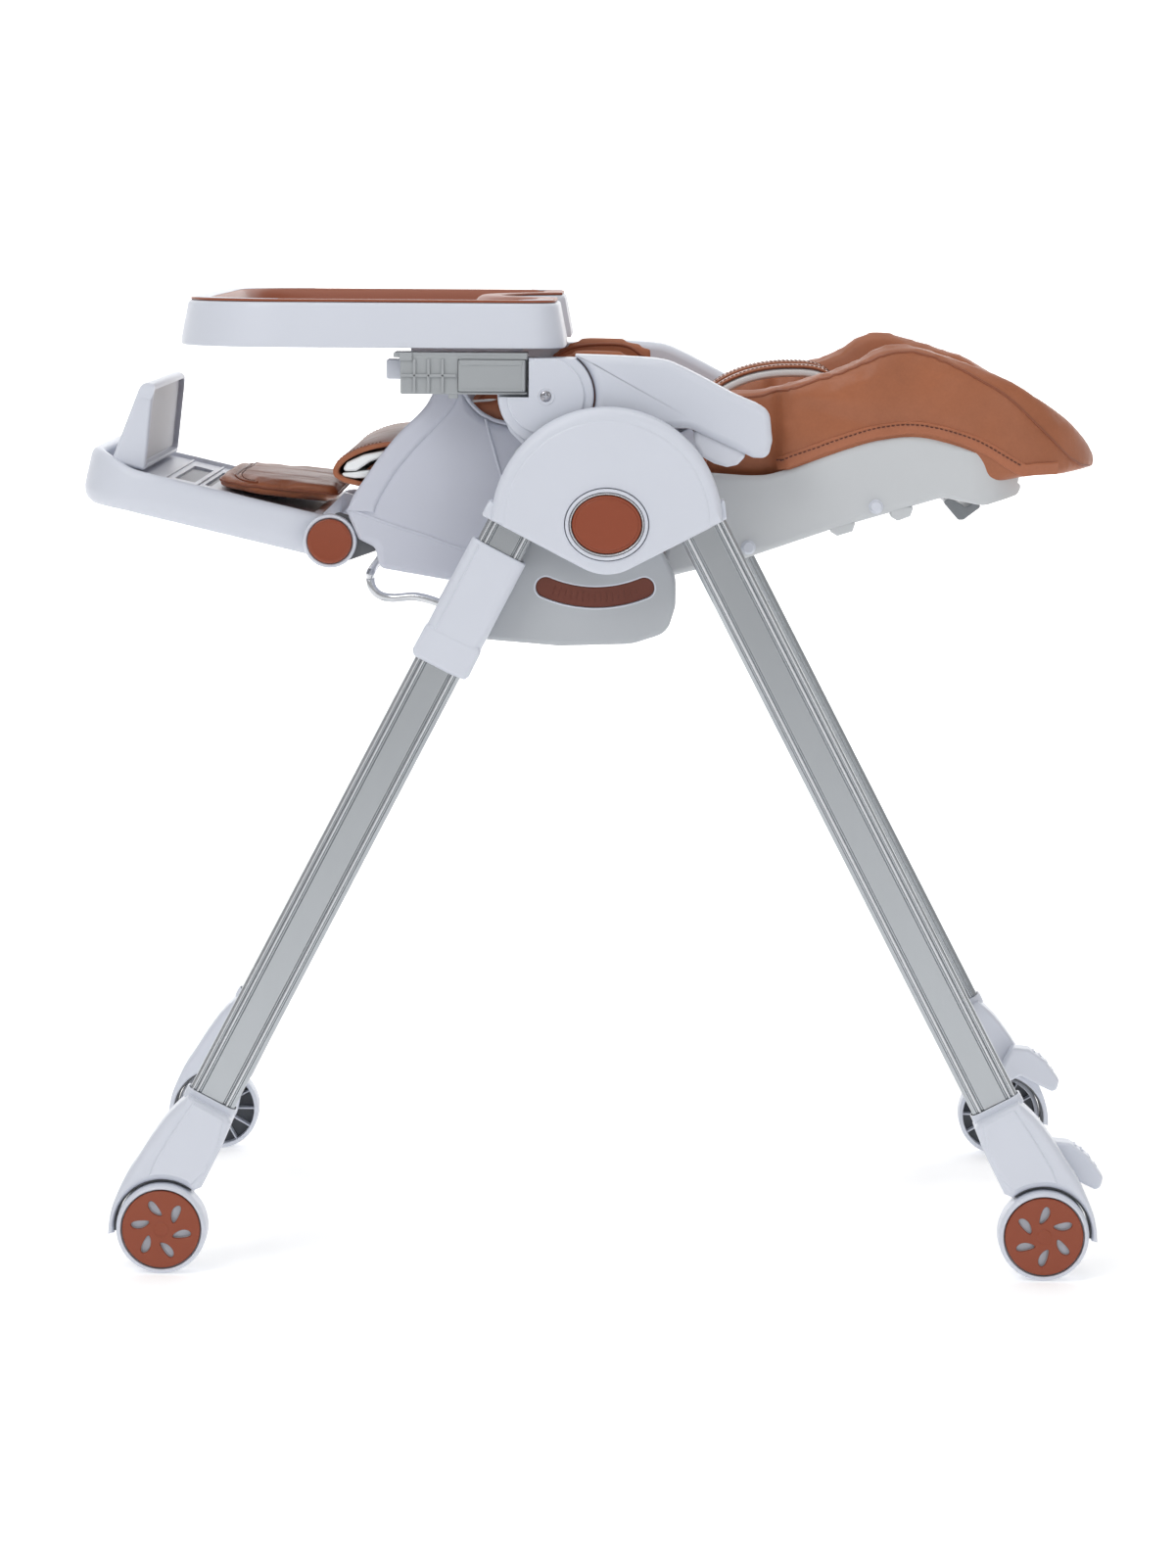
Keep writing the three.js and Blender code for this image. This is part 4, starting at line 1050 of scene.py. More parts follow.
both("arm_hub_boss", arm_hub(), "white", "seat", ["arm_hub_{}"], angle=32)
both("arm_hub_screw", arm_screw(), "screw", "seat")
both("arm_hub_screw_ring", screw_ring(), "white_satin", "seat")
both("armrest_pad", armrest(), "white", "armrest_{}", ["armrest_{}"], angle=32)
both("armrest_lever_grip", arm_lever(), "white_satin", "armrest_lever_{}", ["armrest_lever_{}"])


# ---------------------------------------------------------------- tray
TRAY_X, TRAY_FRONT, TRAY_BACK, TRAY_LOW, TRAY_TOP = (span("tray")[k] for k in (1, 2, 3, 4, 5))
INSERT_TOP = TRAY_TOP + 1.9


def tray_plan(step):
    """The tray's plan moved in by a step: wide front corners, and a hollow behind for the chest."""
    x, front, back = TRAY_X - step, TRAY_FRONT + step, TRAY_BACK - step
    wide, tight = 90 - step, max(40 - step, 10)
    hollow, centre = 120 + step, 30
    reach = math.degrees(math.asin((centre - back) / hollow))
    points = arc(-x + wide, front + wide, wide, 180, 270, 20)
    points += arc(x - wide, front + wide, wide, 270, 360, 20)
    points += arc(x - tight, back - tight, tight, 0, 90, 14)
    points += arc(0, centre, hollow, -reach, -180 + reach, 40)
    points += arc(-x + tight, back - tight, tight, 90, 180, 14)
    return points


def stacked(steps):
    """The tray's plan moved in by each step at its height, joined into one closed skin."""
    bm = bmesh.new()
    made = [[bm.verts.new((x, y, z)) for x, y in tray_plan(step)] for step, z in steps]
    skin(bm, made)
    for ring in (made[0], made[-1]):
        edges = [bm.edges.get((ring[i - 1], ring[i])) for i in range(len(ring))]
        bmesh.ops.triangle_fill(bm, use_beauty=True, use_dissolve=True, edges=edges)
    return from_bmesh(bm)


def tray_body():
    """One moulding: a flared wall, a rolled rim, a pan, and an open underside."""
    low, top = TRAY_LOW, TRAY_TOP - 0.6
    return stacked([(11, 813), (11, low + 1), (10.4, low + 0.2), (9.4, low), (1.6, low), (0.6, low + 0.4),
                    (0.2, low + 1.4), (0.6, low + 6), (2.4, low + 16), (4.4, low + 26), (5.6, top - 6),
                    (6.1, top - 3), (7.0, top - 1.2), (8.4, top - 0.2), (10, top), (25.6, top),
                    (27, top - 0.5), (28, top - 2), (28.6, 818.8), (29.4, 818)])


def tray_insert():
    """The lift-off insert: a thin lip over the rim, a soft-walled pan, and a rib round its floor."""
    low, top = span("tray_insert")[4], INSERT_TOP
    return stacked([(31.5, low), (29.6, low + 0.6), (28.7, low + 2), (28.6, TRAY_TOP - 2.4),
                    (28.2, TRAY_TOP - 0.6), (27.4, TRAY_TOP - 0.3), (9.4, TRAY_TOP - 0.3), (8.8, TRAY_TOP),
                    (8.6, TRAY_TOP + 0.5), (8.8, top - 0.5), (9.5, top - 0.1), (10.5, top), (23.5, top),
                    (26, top - 0.5), (28.9, top - 2.2), (31.2, top - 5.2), (32.6, top - 8), (33.8, low + 5),
                    (35.4, low + 3.3), (39, low + 3), (44, low + 3), (45, low + 3.7), (46.6, low + 3.7),
                    (47.6, low + 3)])


def crescent(reach_in, sweep, kept):
    """A white inlay that lies in the insert's lip: wide in the middle, tapering to nothing at its tips."""
    outer, inner = tray_plan(10.8), tray_plan(reach_in)
    first, second = [], []
    for order, k in enumerate(kept):
        share = math.sin(math.pi * order / (len(kept) - 1)) ** sweep
        first.append(outer[k])
        second.append(Vector(outer[k]).lerp(Vector(inner[k]), 0.02 + 0.98 * share))
    return first + second[::-1]


def upright(a, b, z):
    """For a plate that is drawn in plan: across, along, and up."""
    return a, b, z


def inlay(outline):
    return plate(outline, INSERT_TOP - 1.2, INSERT_TOP + 0.4, 0.5, steps=3, put=upright)


def cup_ring(x, y):
    """A raised ring on the insert's floor that keeps a cup in place."""
    low = span("tray_insert")[4]
    made = spun([(31.0, low + 2.2), (31.0, low + 3.4), (31.5, low + 4.2), (32.3, low + 4.6),
                 (33.1, low + 4.2), (33.6, low + 3.4), (33.6, low + 2.2)], 0, 0, 96)
    made.transform(Matrix.Translation((x, y, 0)) @ Matrix.Rotation(-math.pi / 2, 4, "Y"))
    return made


def rail():
    """The runner under the tray's edge, with its ribs, shelf and lug."""
    roof, inner, outer = TRAY_LOW - 6.5, 228, 247
    deck = plate(fillet(rectangle(-183, -69, roof - 1.4, TRAY_LOW - 3.6), 0.8), 204, outer - 0.6, 0.8,
                 steps=3)
    body = plate(fillet(rectangle(-177, -69, 754, roof), 1.6), inner, outer, 1.4, steps=4)
    bay = plate(rectangle(-128, -60, 756, 784), outer - 9, outer + 8, 0, steps=1)
    lug = plate(fillet(rectangle(-178, -167, roof - 4, roof + 3), 0.8), outer - 3, outer + 1.6, 0.6)
    ribs = [plate(fillet(rectangle(y - 1.2, y + 1.2, 755, 784), 0.5, 2), outer - 1, outer + 2, 0.5, steps=2)
            for y in (-165, -153, -141)]
    shelf = plate(fillet(rectangle(-177, -129.4, 768.8, 771.2), 0.5, 2), outer - 1, outer + 2, 0.5, steps=2)
    foot = plate(fillet(rectangle(-136, -128, 750.5, 755), 0.8, 2), outer - 10, outer - 1, 0.5)
    return merged(deck, carved(body, [bay]), lug, *ribs, shelf, foot)


def release():
    """The press plate in the rail's bay: a frame on three sides of a shallow finger hollow."""
    x0, x1 = span("tray_release_left")[:2]
    body = plate(fillet(rectangle(-127.5, -70.5, 756.5, 783.5), 1.4), x0, x1 - 0.8, 1.0)
    edges = ((-126, -72, 779, 783, 0.8, 0.7), (-73.5, -70.9, 757, 783, 0.6, 0.6),
             (-127, -72, 757, 759, 0.6, 0.6))
    return merged(body, *[plate(fillet(rectangle(*sides), corner), x1 - 2, x1, rim) for *sides, corner,
                          rim in edges])


place("tray_body", tray_body(), "white", "tray", ["tray"], angle=40)
place("tray_insert_pan", tray_insert(), "insert", "tray_insert", ["tray_insert"], angle=40)
place("tray_insert_front_inlay", inlay(crescent(25.5, 0.6, range(42))), "white", "tray_insert")
both("tray_insert_rear_inlay", inlay(crescent(27.0, 0.5, range(42, 57))), "white", "tray_insert")
place("tray_insert_cup_ring", cup_ring(128, -245), "insert", "tray_insert")
both("tray_rail_runner", rail(), "rail", "tray", ["tray_rail_{}"], angle=32)
both("tray_release_plate", release(), "rail", "tray_release_{}", ["tray_release_{}"])


# ---------------------------------------------------------------- soft goods: shared work
def inflated(mesh, name, voxel, cap, held):
    """A drawing-space solid swollen like stuffed fabric: remeshed, and inflated as cloth up to the cap.

    held(x, y, z) says how firmly each point is tacked down, from 0 to 1.
    """
    mesh.transform(TO_FRAME)
    piece = new_object(name, mesh)
    remesh = piece.modifiers.new("remesh", "REMESH")
    remesh.mode, remesh.voxel_size = "VOXEL", voxel / 1000
    take_result(piece)
    even = piece.modifiers.new("even", "SMOOTH")
    even.factor, even.iterations = 0.5, 4
    take_result(piece)
    rest = [vertex.co.copy() for vertex in piece.data.vertices]
    group = piece.vertex_groups.new(name="held")
    for vertex in piece.data.vertices:
        group.add([vertex.index], held(*in_drawing(vertex.co)), "REPLACE")
    cloth = piece.modifiers.new("cloth", "CLOTH")
    cloth.settings.use_pressure = True
    cloth.settings.uniform_pressure_force = 4.0
    cloth.settings.effector_weights.gravity = 0
    cloth.settings.quality = 5
    cloth.settings.mass = 0.3
    cloth.settings.tension_stiffness = cloth.settings.compression_stiffness = 15
    cloth.settings.vertex_group_mass = "held"
    cloth.collision_settings.use_collision = False
    cloth.point_cache.frame_start, cloth.point_cache.frame_end = 1, 20
    scene = bpy.context.scene
    for step in range(1, 21):
        scene.frame_set(step)
    take_result(piece)
    limit = cap / 1000
    for vertex, start in zip(piece.data.vertices, rest):
        move = vertex.co - start
        if move.length > limit:
            move *= limit / move.length
        vertex.co = start + move
    scene.frame_set(1)
    finer = piece.modifiers.new("finer", "SUBSURF")
    finer.levels = finer.render_levels = 1
    result = evaluated(piece)
    bpy.data.objects.remove(piece)
    return result


def take_result(piece):
    """The modifiers applied for good."""
    base = evaluated(piece)
    piece.modifiers.clear()
    piece.data = base


def in_drawing(point):
    """A place in the row frame, in the drawing's millimetres."""
    return Vector((1000 * point.x, 1000 * point.y - FOLD_Y, 1000 * point.z))


def soft_piece(name, mesh, finish, body, replaces):
    """A pad that was inflated."""
    piece = riding(name, smooth(mesh), finish, body, replaces, weighted=False)


def soft_part(name, mesh, finish, body, replaces=(), angle=60):
    """A band or pad that is modelled directly."""
    piece = place(name, mesh, finish, body, replaces, False, angle)
    return piece


def surface(mesh):
    """A search tree of a mesh in the row frame, asked in the drawing's millimetres."""
    tree = BVHTree.FromPolygons([v.co for v in mesh.vertices], [p.vertices for p in mesh.polygons])

    def nearest(point, lift=0.0):
        spot, normal, _, _ = tree.find_nearest(TO_FRAME @ Vector(point))
        return in_drawing(spot + normal * lift / 1000), normal
    return nearest


def lay(path, nearest, lift):
    """The path's points dropped onto a surface and lifted off it a little."""
    return [nearest(point, lift)[0] for point in path]


def even_path(path, gap):
    """Points a fixed distance apart along a path."""
    path = [Vector(point) for point in path]
    made, left = [path[0]], gap
    for a, b in zip(path, path[1:]):
        length, used = (b - a).length, 0.0
        while length - used >= left:
            used += left
            made.append(a.lerp(b, used / length))
            left = gap
        left -= length - used
    return made


def stitches(path, nearest, gap=3.4, length=2.3, radius=0.38):
    """A row of single stitches, each a short thread that dips in at both ends."""
    spots = even_path(path, gap)
    threads = []
    for a, b in zip(spots, spots[1:]):
        way = (b - a).normalized()
        middle = (a + b) / 2
        points = [middle + way * length * share for share in (-0.5, -0.25, 0.25, 0.5)]
        if nearest:
            points = [nearest(point, height)[0] for point, height in zip(points, (-0.2, 0.15, 0.15, -0.2))]
        threads.append(tube(points, [radius * 0.6, radius, radius, radius * 0.6], 6))
    return merged(*threads)


def strap(path, normals, width, thickness):
    """A flat band: width across the path, thickness along each point's normal, with rolled edges."""
    path = [Vector(point) for point in path]
    section = []
    for k in range(28):
        c, s = math.cos(2 * math.pi * (k + 0.5) / 28), math.sin(2 * math.pi * (k + 0.5) / 28)
        section.append((math.copysign(abs(c) ** 0.35, c) * 0.5, math.copysign(abs(s) ** 0.7, s) * 0.5))
    rings = []
    for i, (point, normal) in enumerate(zip(path, normals)):
        along = (path[min(i + 1, len(path) - 1)] - path[max(i - 1, 0)]).normalized()
        up = Vector(normal)
        up = (up - along * up.dot(along)).normalized()
        across = along.cross(up)
        rings.append([point + across * a * width + up * b * thickness for a, b in section])
    return loft(rings, caps=(-1, 1))


def side_normals(path):
    """The unit vectors that point out of a path in a plane of constant x."""
    made = []
    for i in range(len(path)):
        way = path[min(i + 1, len(path) - 1)] - path[max(i - 1, 0)]
        made.append(Vector((0, -way.z, way.y)).normalized())
    return made


def raised(path, normals, height, across=0.0):
    """The path moved out along its normals, and sideways along x."""
    return [point + Vector((across, 0, 0)) + normal * height for point, normal in zip(path, normals)]


def between(table, y):
    """A value read off a table of (y, value) points along the straight line between neighbours."""
    if y <= table[0][0]:
        return table[0][1]
    for (y0, v0), (y1, v1) in zip(table, table[1:]):
        if y <= y1:
            return v0 + (v1 - v0) * ((y - y0) / (y1 - y0))
    return table[-1][1]


def smooth_table(table):
    """The table's points joined by a smooth curve of many short steps."""
    return [tuple(point) for point in spline(table, 6)]


# ---------------------------------------------------------------- backrest shell
BACK_HALF = 186
HEM = smooth_table([(60, 682), (84, 686), (125, 684), (150, 688), (206, 708), (240, 717), (275, 718),
                    (317, 706), (346, 690), (362, 681)])


def back_plan(half, head, corner):
    return ([(-half, -20), (half, -20)] + arc(half - corner, head - corner, corner, 0, 90, 20)
            + arc(-half + corner, head - corner, corner, 90, 180, 20))


def backrest_shell():
    rim = [(y, z - 0.4) for y, z in HEM if 84 <= y <= 360]
    lower = fillet([(66, 652, 0.01), (50, 622, 5), (46, 593, 7), (122, 612, 60), (195, 637, 60),
                    (290, 665, 20), (325, 658, 20), (357, 666.5, 6), (362, 676, 3)], 8)
    body = plate(lower + rim[::-1], -BACK_HALF, BACK_HALF, 6, steps=6)
    plan = plate(back_plan(BACK_HALF, 362, 60), 560, 850, 0, steps=1, put=upright)
    inside = plate([(40, 604), (122, 618), (195, 643), (290, 671), (350, 673), (350, 760), (40, 760)], -200,
                   200, 0, steps=1)
    inner_plan = plate(back_plan(BACK_HALF - 4, 358, 56), 570, 840, 0, steps=1, put=upright)
    hollow = carved(inside, [inner_plan], "INTERSECT")
    return carved(carved(body, [plan], "INTERSECT"), [hollow])


def shell_pegs():
    profile = [(0.2, -3), (6.6, -3), (6.2, 0.6), (5.2, 1.6), (4.9, 5), (4.3, 6), (0.2, 6)]
    return merged(*[spun([(radius, BACK_HALF + out) for radius, out in profile], y, z, 40)
                    for y, z in ((122, 621), (232, 657))])


def shell_tabs():
    parts = []
    for y0, y1, z0, z1 in ((193, 215, 632.5, 643), (245, 265, 646, 657)):
        for x0, x1 in ((-183, -150), (150, 183)):
            shape = fillet([(y0, z0 + 2), (y0 + 6, z0 - 1.5), (y1 - 3, z0 + 2.5), (y1, z1), (y0, z1)], 1.5)
            parts.append(plate(shape, x0, x1, 1.4))
    belly = [(60, 597), (122, 612.5), (195, 637), (290, 664.5)]
    ribs = [tube([(x, y, between(belly, y) - 0.1) for y in range(70, 286, 8)], 1.5, 10) for x in (-110, 110)]
    return merged(*parts, *ribs)


place("backrest_shell_tub", backrest_shell(), "back_shell", "backrest", ["backrest_shell"], angle=34)
both("backrest_shell_pegs", shell_pegs(), "white", "backrest")
place("backrest_shell_tabs", shell_tabs(), "back_shell", "backrest")

# ---------------------------------------------------------------- backrest cover
COVER_HALF, COVER_START, COVER_END = 187.5, 84.5, 430
CREST = smooth_table([(84, 734), (101, 755), (122, 757), (143, 762), (182, 776), (214, 789), (235, 800),
                      (257, 801.5), (279, 797), (304, 789), (333, 778), (369, 755), (402, 729), (420, 709),
                      (430, 696)])
SEAM = smooth_table([(84, 731), (101, 752), (122, 752), (143, 757), (166, 764), (182, 772), (214, 784),
                     (237, 792), (251, 795), (269, 794), (288, 789), (309, 777), (351, 749), (388, 714),
                     (412, 693), (430, 687)])
FLOOR = smooth_table([(84, 652), (110, 660), (200, 687), (300, 716), (330, 738), (352, 757), (372, 749),
                      (402, 726), (420, 706), (430, 695)])
UNDER = smooth_table([(84, 617), (122, 622), (195, 647), (290, 675), (340, 678), (352, 681), (364, 683.5),
                      (400, 685), (430, 690)])


def back_half(y):
    """Half the cover's width: narrower beside the armrests, and rounded at the head."""
    corner, head = 108, 431
    if y > head - corner:
        return COVER_HALF - corner + math.sqrt(max(corner ** 2 - (y - head + corner) ** 2, 0))
    if y < 150:
        return 172 + 15.5 * max(0.0, min(1.0, (y - 140) / 10)) ** 2
    return COVER_HALF


def cover_section(y):
    """Half of the cover's section, from the middle of its underside round to the middle of its top."""
    half, crest, seam = back_half(y), between(CREST, y), between(SEAM, y)
    floor, under = between(FLOOR, y), between(UNDER, y)
    hem = max(between(HEM, y) + 0.8, under) if y < 362 else under
    inside = min(half - 6, 180.5)
    sit = min(1.0, max(0.0, (crest - floor) / 60))
    shoulder = crest - (crest - floor) * 0.06
    low = min(half - 40, 140)
    return [(0, under), (inside - 40, under), (inside - 1.5, under + (1.5 if y < 350 else 0)),
            (inside, (under + hem) / 2), (inside + 0.6, hem - 0.3), (half - 1.2, hem), (half, hem + 3),
            (half + 1.0, hem + (seam - hem) * 0.35), (half + 0.8, hem + (seam - hem) * 0.75),
            (half - 0.5, seam - 2), (half - 3.5, seam + (crest - seam) * 0.45), (half - 9, shoulder),
            (half - 18, crest), (half - 27, shoulder), (half - 33, crest - (crest - floor) * 0.3),
            (half - 37, crest - (crest - floor) * 0.65 * sit - 1), (low, floor + 6 * sit),
            (low - 26, floor + 1.5 * sit), (low * 0.45, floor - 1 * sit), (0, floor),]


def cover_solid():
    rings = []
    for k in range(67):
        y = COVER_START + k * (COVER_END - COVER_START) / 66
        half = cover_section(y)
        rings.append([(x, y, z) for x, z in half + [(-x, z) for x, z in half[::-1][1:-1]]])
    return loft(rings, caps=(1, -1))


def held_at_hem(x, y, z):
    """1 where the cover is tacked down: its underside, its hem and its seat end."""
    hem = between(HEM, y) + 1
    if z < hem + 3 and abs(x) > 150 or z < between(UNDER, y) + 6:
        return 1.0
    return 0.75 if y < 92 or (y < 150 and abs(x) > 165) else 0.0


cover = inflated(cover_solid(), "backrest_cover", 5.0, 5.0, held_at_hem)


def pressed(mesh, lines, depth, width):
    """Sewn channels: each line of points draws the surface in along its normal."""
    bm = bmesh.new()
    bm.from_mesh(mesh)
    bm.normal_update()
    scale = width / 1000
    for points in lines:
        spots = [TO_FRAME @ Vector(point) for point in points]
        low = [min(spot[k] for spot in spots) - 3 * scale for k in range(3)]
        high = [max(spot[k] for spot in spots) + 3 * scale for k in range(3)]
        for vertex in bm.verts:
            if not all(low[k] <= vertex.co[k] <= high[k] for k in range(3)):
                continue
            nearest = min(segment_distance(vertex.co, a, b) for a, b in zip(spots, spots[1:]))
            if nearest < 3 * scale:
                vertex.co -= vertex.normal * depth / 1000 * math.exp(-(nearest / scale) ** 2)
    bm.to_mesh(mesh)
    bm.free()
    return mesh


def segment_distance(point, a, b):
    way = b - a
    share = max(0.0, min(1.0, (point - a).dot(way) / max(way.length_squared, 1e-12)))
    return (point - a - way * share).length


def creased(mesh, amount, size, seed, where):
    """Soft wrinkles: the surface moved along its normals by slow noise, where the weight allows."""
    bm = bmesh.new()
    bm.from_mesh(mesh)
    bm.normal_update()
    moves = []
    for vertex in bm.verts:
        x, y, z = in_drawing(vertex.co)
        weight = where(x, y, z)
        value = noise.noise(Vector((x / size[0], y / size[1] + seed, z / size[2])))
        moves.append(vertex.normal * value * amount * weight / 1000)
    for vertex, move in zip(bm.verts, moves):
        vertex.co += move
    bm.to_mesh(mesh)
    bm.free()
    return mesh


def side_line(table, start, end, gap=6):
    """Points up one flank at the table's height, from the seat end to the head end."""
    return [(back_half(y) + 2, y, between(table, y)) for y in range(start, end + 1, gap)]


def cover_lines():
    """The cover's sewn lines: its flanks' seams, its sitting surface's quilting, and its head's seam."""
    flanks = [[(sign * x, y, z) for x, y, z in side_line(SEAM, 100, 426)] for sign in (1, -1)]
    quilting = [[(x, y, between(FLOOR, y) + 2) for y in range(118, 330, 8)] for x in (-46, 46)]
    quilting += [[(x, y, between(FLOOR, y) + 2) for x in range(-128, 129, 8)] for y in (150, 205, 260, 312)]
    head = []
    for x in range(-150, 151, 8):
        y = 352 + 10 * math.cos(x / 110)
        head.append((x, y, between(CREST, y) - 2))
    return flanks, quilting, head


flank_seams, quilting, head_seam = cover_lines()
pressed(cover, flank_seams, 1.5, 2.6)
pressed(cover, quilting, 4.0, 6.0)
pressed(cover, [head_seam], 2.2, 4.0)
creased(cover, 1.3, (60, 34, 22), 3.1, lambda x, y, z: 1.0 if z > between(HEM, y) + 8 else 0.0)
soft_piece("backrest_cover_pad", cover, "leather", "backrest", ["backrest_cushion"])
cover_top = surface(cover)


def hem_band(sign):
    """The bound lower edge of the cover."""
    path = [(sign * (back_half(y) + 1.5), y, between(HEM, y) + 6.2) for y in range(146, 364, 5)]
    path += [(sign * back_half(y), y, between(UNDER, y) + 6) for y in (372, 381, 390)]
    spots = [cover_top(point, -0.3) for point in path]
    return strap([spot for spot, _ in spots], [normal for _, normal in spots], 11.5, 2.6)


def hem_stitches(sign):
    path = [(sign * (back_half(y) + 1.5), y, between(HEM, y) + 9.5) for y in range(146, 362, 4)]
    return stitches(path, lambda p, h: cover_top(p, h + 1.45), 4.2, 2.9, 0.62)


bands = [hem_band(sign) for sign in (1, -1)]
threads = [hem_stitches(sign) for sign in (1, -1)]
cords = [tube(lay([(sign * x, y, z) for x, y, z in side_line(SEAM, 104, 424, 4)], cover_top, 0.1), 1.15, 10)
         for sign in (1, -1)]
cords.append(tube(lay(head_seam, cover_top, 0.1), 1.1, 10))
place("backrest_cover_binding", merged(*bands), "leather_edge", "backrest", angle=60)
place("backrest_cover_stitches", merged(*threads), "thread", "backrest", angle=80)
place("backrest_cover_piping", merged(*cords), "leather_side", "backrest", angle=80)


# ---------------------------------------------------------------- harness
def shoulder_strap(x):
    """A band that arches off the back to its slot; its padded sleeve; the sleeve's cover and seams."""
    line = spline([(82, 690), (83, 726), (95, 749), (124, 764), (160, 769), (191, 764), (212, 736),
                   (226, 703)], 8)
    path = [Vector((x, *point)) for point in line]
    normals = side_normals(path)
    band = strap(path, normals, 25, 1.8)
    path, normals = path[12:45], normals[12:45]
    pad = strap(raised(path, normals, -1.2), normals, 36, 8.4)
    cover_pad = strap(raised(path, normals, 4.2), normals, 37, 3.4)
    rows = [stitches(raised(path, normals, 5.9, across)[1:-1], None, 3.8, 2.5, 0.4)
            for across in (-15.4, 15.4)]
    return band, pad, cover_pad, merged(*rows)


for side, x in zip(SIDES, (48, -48)):
    band, pad, cover_pad, rows = shoulder_strap(x)
    place(f"shoulder_strap_band_{side}", band, "webbing", "backrest", [f"shoulder_strap_{side}"], angle=60)
    soft_part(f"shoulder_strap_pad_{side}", pad, "webbing", "backrest")
    soft_part(f"shoulder_strap_cover_{side}", cover_pad, "leather", "backrest")
    place(f"shoulder_strap_stitches_{side}", rows, "thread", "backrest", angle=80)


# ---------------------------------------------------------------- recline handle
def recline_handle():
    """A folded hook across the back's underside, ribbed where the fingers go."""
    outline = fillet([(297, 654), (304, 657), (318, 649), (329, 655), (331, 649), (316, 637.5),
                      (311, 637.5)], 2.2, 4)
    body = plate(outline, -55, 55, 1.2, steps=4)
    ribs = [plate(fillet([(305, 654.8), (318, 647.5), (318, 642), (311, 640), (301, 652)], 1), x - 0.9, x
                  + 0.9, 0.4, steps=2) for x in range(-48, 49, 12)]
    return merged(body, *ribs)


place("recline_lever_hook", recline_handle(), "hook", "recline_lever", ["recline_lever"], angle=30)


# ---------------------------------------------------------------- seat cushion
SEAT_PAD_HALF = 190.2


def seat_pad():
    """The seat's filling and its side wings, as overlapping solids for the remesh to join."""
    pad = plate(fillet([(-212, 664, 8), (-216, 680, 8), (-206, 692, 20), (-183, 699, 50), (-110, 686, 60),
                        (0, 666, 12), (14, 654, 8), (14, 610, 8), (-148, 616, 20), (-204, 650, 16)], 8),
                -184, 184, 7, steps=4)
    side = fillet([(-163, 672), (-126, 745), (-96, 750), (-70, 767), (-40, 787.5), (-20, 793), (12, 790.5),
                   (41, 780, 6), (32, 750), (26, 684), (0, 655), (-120, 655)], 14, 6)
    return merged(pad, *[plate(side, x0, x1, 4.2, steps=4) for x0, x1 in ((180, 189), (-189, -180))])


def held_in_shell(x, y, z):
    """1 against the shell's walls and floor, 0 on the seat's open surface."""
    if abs(x) > 183 and z < 740 or z < 648:
        return 1.0
    return 0.75 if abs(x) > 176 else 0.0


seat_soft = inflated(seat_pad(), "seat_soft", 5.0, 4.5, held_in_shell)


def seat_top(y):
    return between([(-240, 683), (-223, 696), (-183, 703), (-110, 688), (0, 667), (14, 656)], y)


seat_lines = [[(x, y, seat_top(y) + 3) for y in range(-178, -9, 8)] for x in (-58, 58)]
seat_lines += [[(x, y, seat_top(y) + 3) for x in range(-168, 169, 8)] for y in (-165, -110, -58)]
wing_line = spline([(-140, 714), (-118, 738), (-92, 745), (-66, 762), (-38, 781), (8, 784), (28, 774)], 6)
pressed(seat_soft, seat_lines, 3.2, 5.5)
creased(seat_soft, 1.1, (44, 30, 26), 7.7, lambda x, y, z: 1.0 if abs(x) < 182 and z > 660 else 0.2)
for vertex in seat_soft.vertices:
    limit = SEAT_PAD_HALF / 1000
    vertex.co.x = max(-limit, min(limit, vertex.co.x))
soft_piece("seat_cushion_pad", seat_soft, "leather", "seat", ["seat_cushion"])
seat_near = surface(seat_soft)
cords = [tube(lay([(x, y, z) for y, z in wing_line], seat_near, 0.3), 1.5, 10) for x in (180.5, -180.5)]
place("seat_cushion_piping", merged(*cords), "leather_side", "seat", angle=80)
threads = [stitches([(x, y, z) for y, z in wing_line], lambda p, h: seat_near(p, h + 0.2))
           for x in (176.5, -176.5)]
place("seat_cushion_stitches", merged(*threads), "thread", "seat", angle=80)


def bridge_pad():
    """The padded strip that closes the cover between seat and backrest, creased where it folds."""
    profile = fillet([(11, 643, 4), (11, 652, 4), (24, 657, 10), (43, 651, 14), (64, 656, 12), (88, 652, 4),
                      (88, 643, 4), (64, 641, 10), (43, 637, 14), (24, 641, 10)], 5)
    return plate(profile, -167, 167, 4, steps=4)


def held_at_ends(x, y, z):
    """1 where the bridge meets the seat and the backrest."""
    return 1.0 if y < 17 or y > 82 else 0.0


bridge = inflated(bridge_pad(), "seat_back_bridge", 4.0, 2.5, held_at_ends)
bridge_piece = finished("seat_back_bridge", smooth(bridge), "leather")
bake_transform(bridge_piece)


def nose_roll():
    """The bound front edge: a brown band rolled round a white lining, open at both ends."""
    middle = spline([(-180, 709), (-196, 707.5), (-212, 703.5), (-226, 697), (-234, 689.5), (-235.5, 682.5),
                     (-229, 677.5), (-218, 674.5), (-208, 672.5)], 5)
    outer, inner = [], []
    for i, point in enumerate(middle):
        a, b = middle[max(i - 1, 0)], middle[min(i + 1, len(middle) - 1)]
        side = Vector((b.y - a.y, a.x - b.x)).normalized()
        thick = 5.0 * (0.8 + 0.2 * math.sin(math.pi * i / (len(middle) - 1)))
        outer.append(tuple(point + side * thick / 2))
        inner.append(tuple(point - side * thick / 2))
    shell = plate(outer + inner[::-1], -188.5, 188.5, 2.2, steps=4)
    upper = plate(fillet([(-231, 684.5), (-226, 692.5), (-212, 699), (-192, 703), (-190, 698), (-206, 693),
                          (-218, 685)], 3.4, 4), -188, 188, 2.4, steps=4)
    lower = plate(fillet([(-231, 683), (-219, 684), (-206, 686), (-204, 679), (-220, 678.5), (-229, 680)],
                         2.2, 4), -187, 187, 1.6, steps=4)
    return shell, merged(upper, lower)


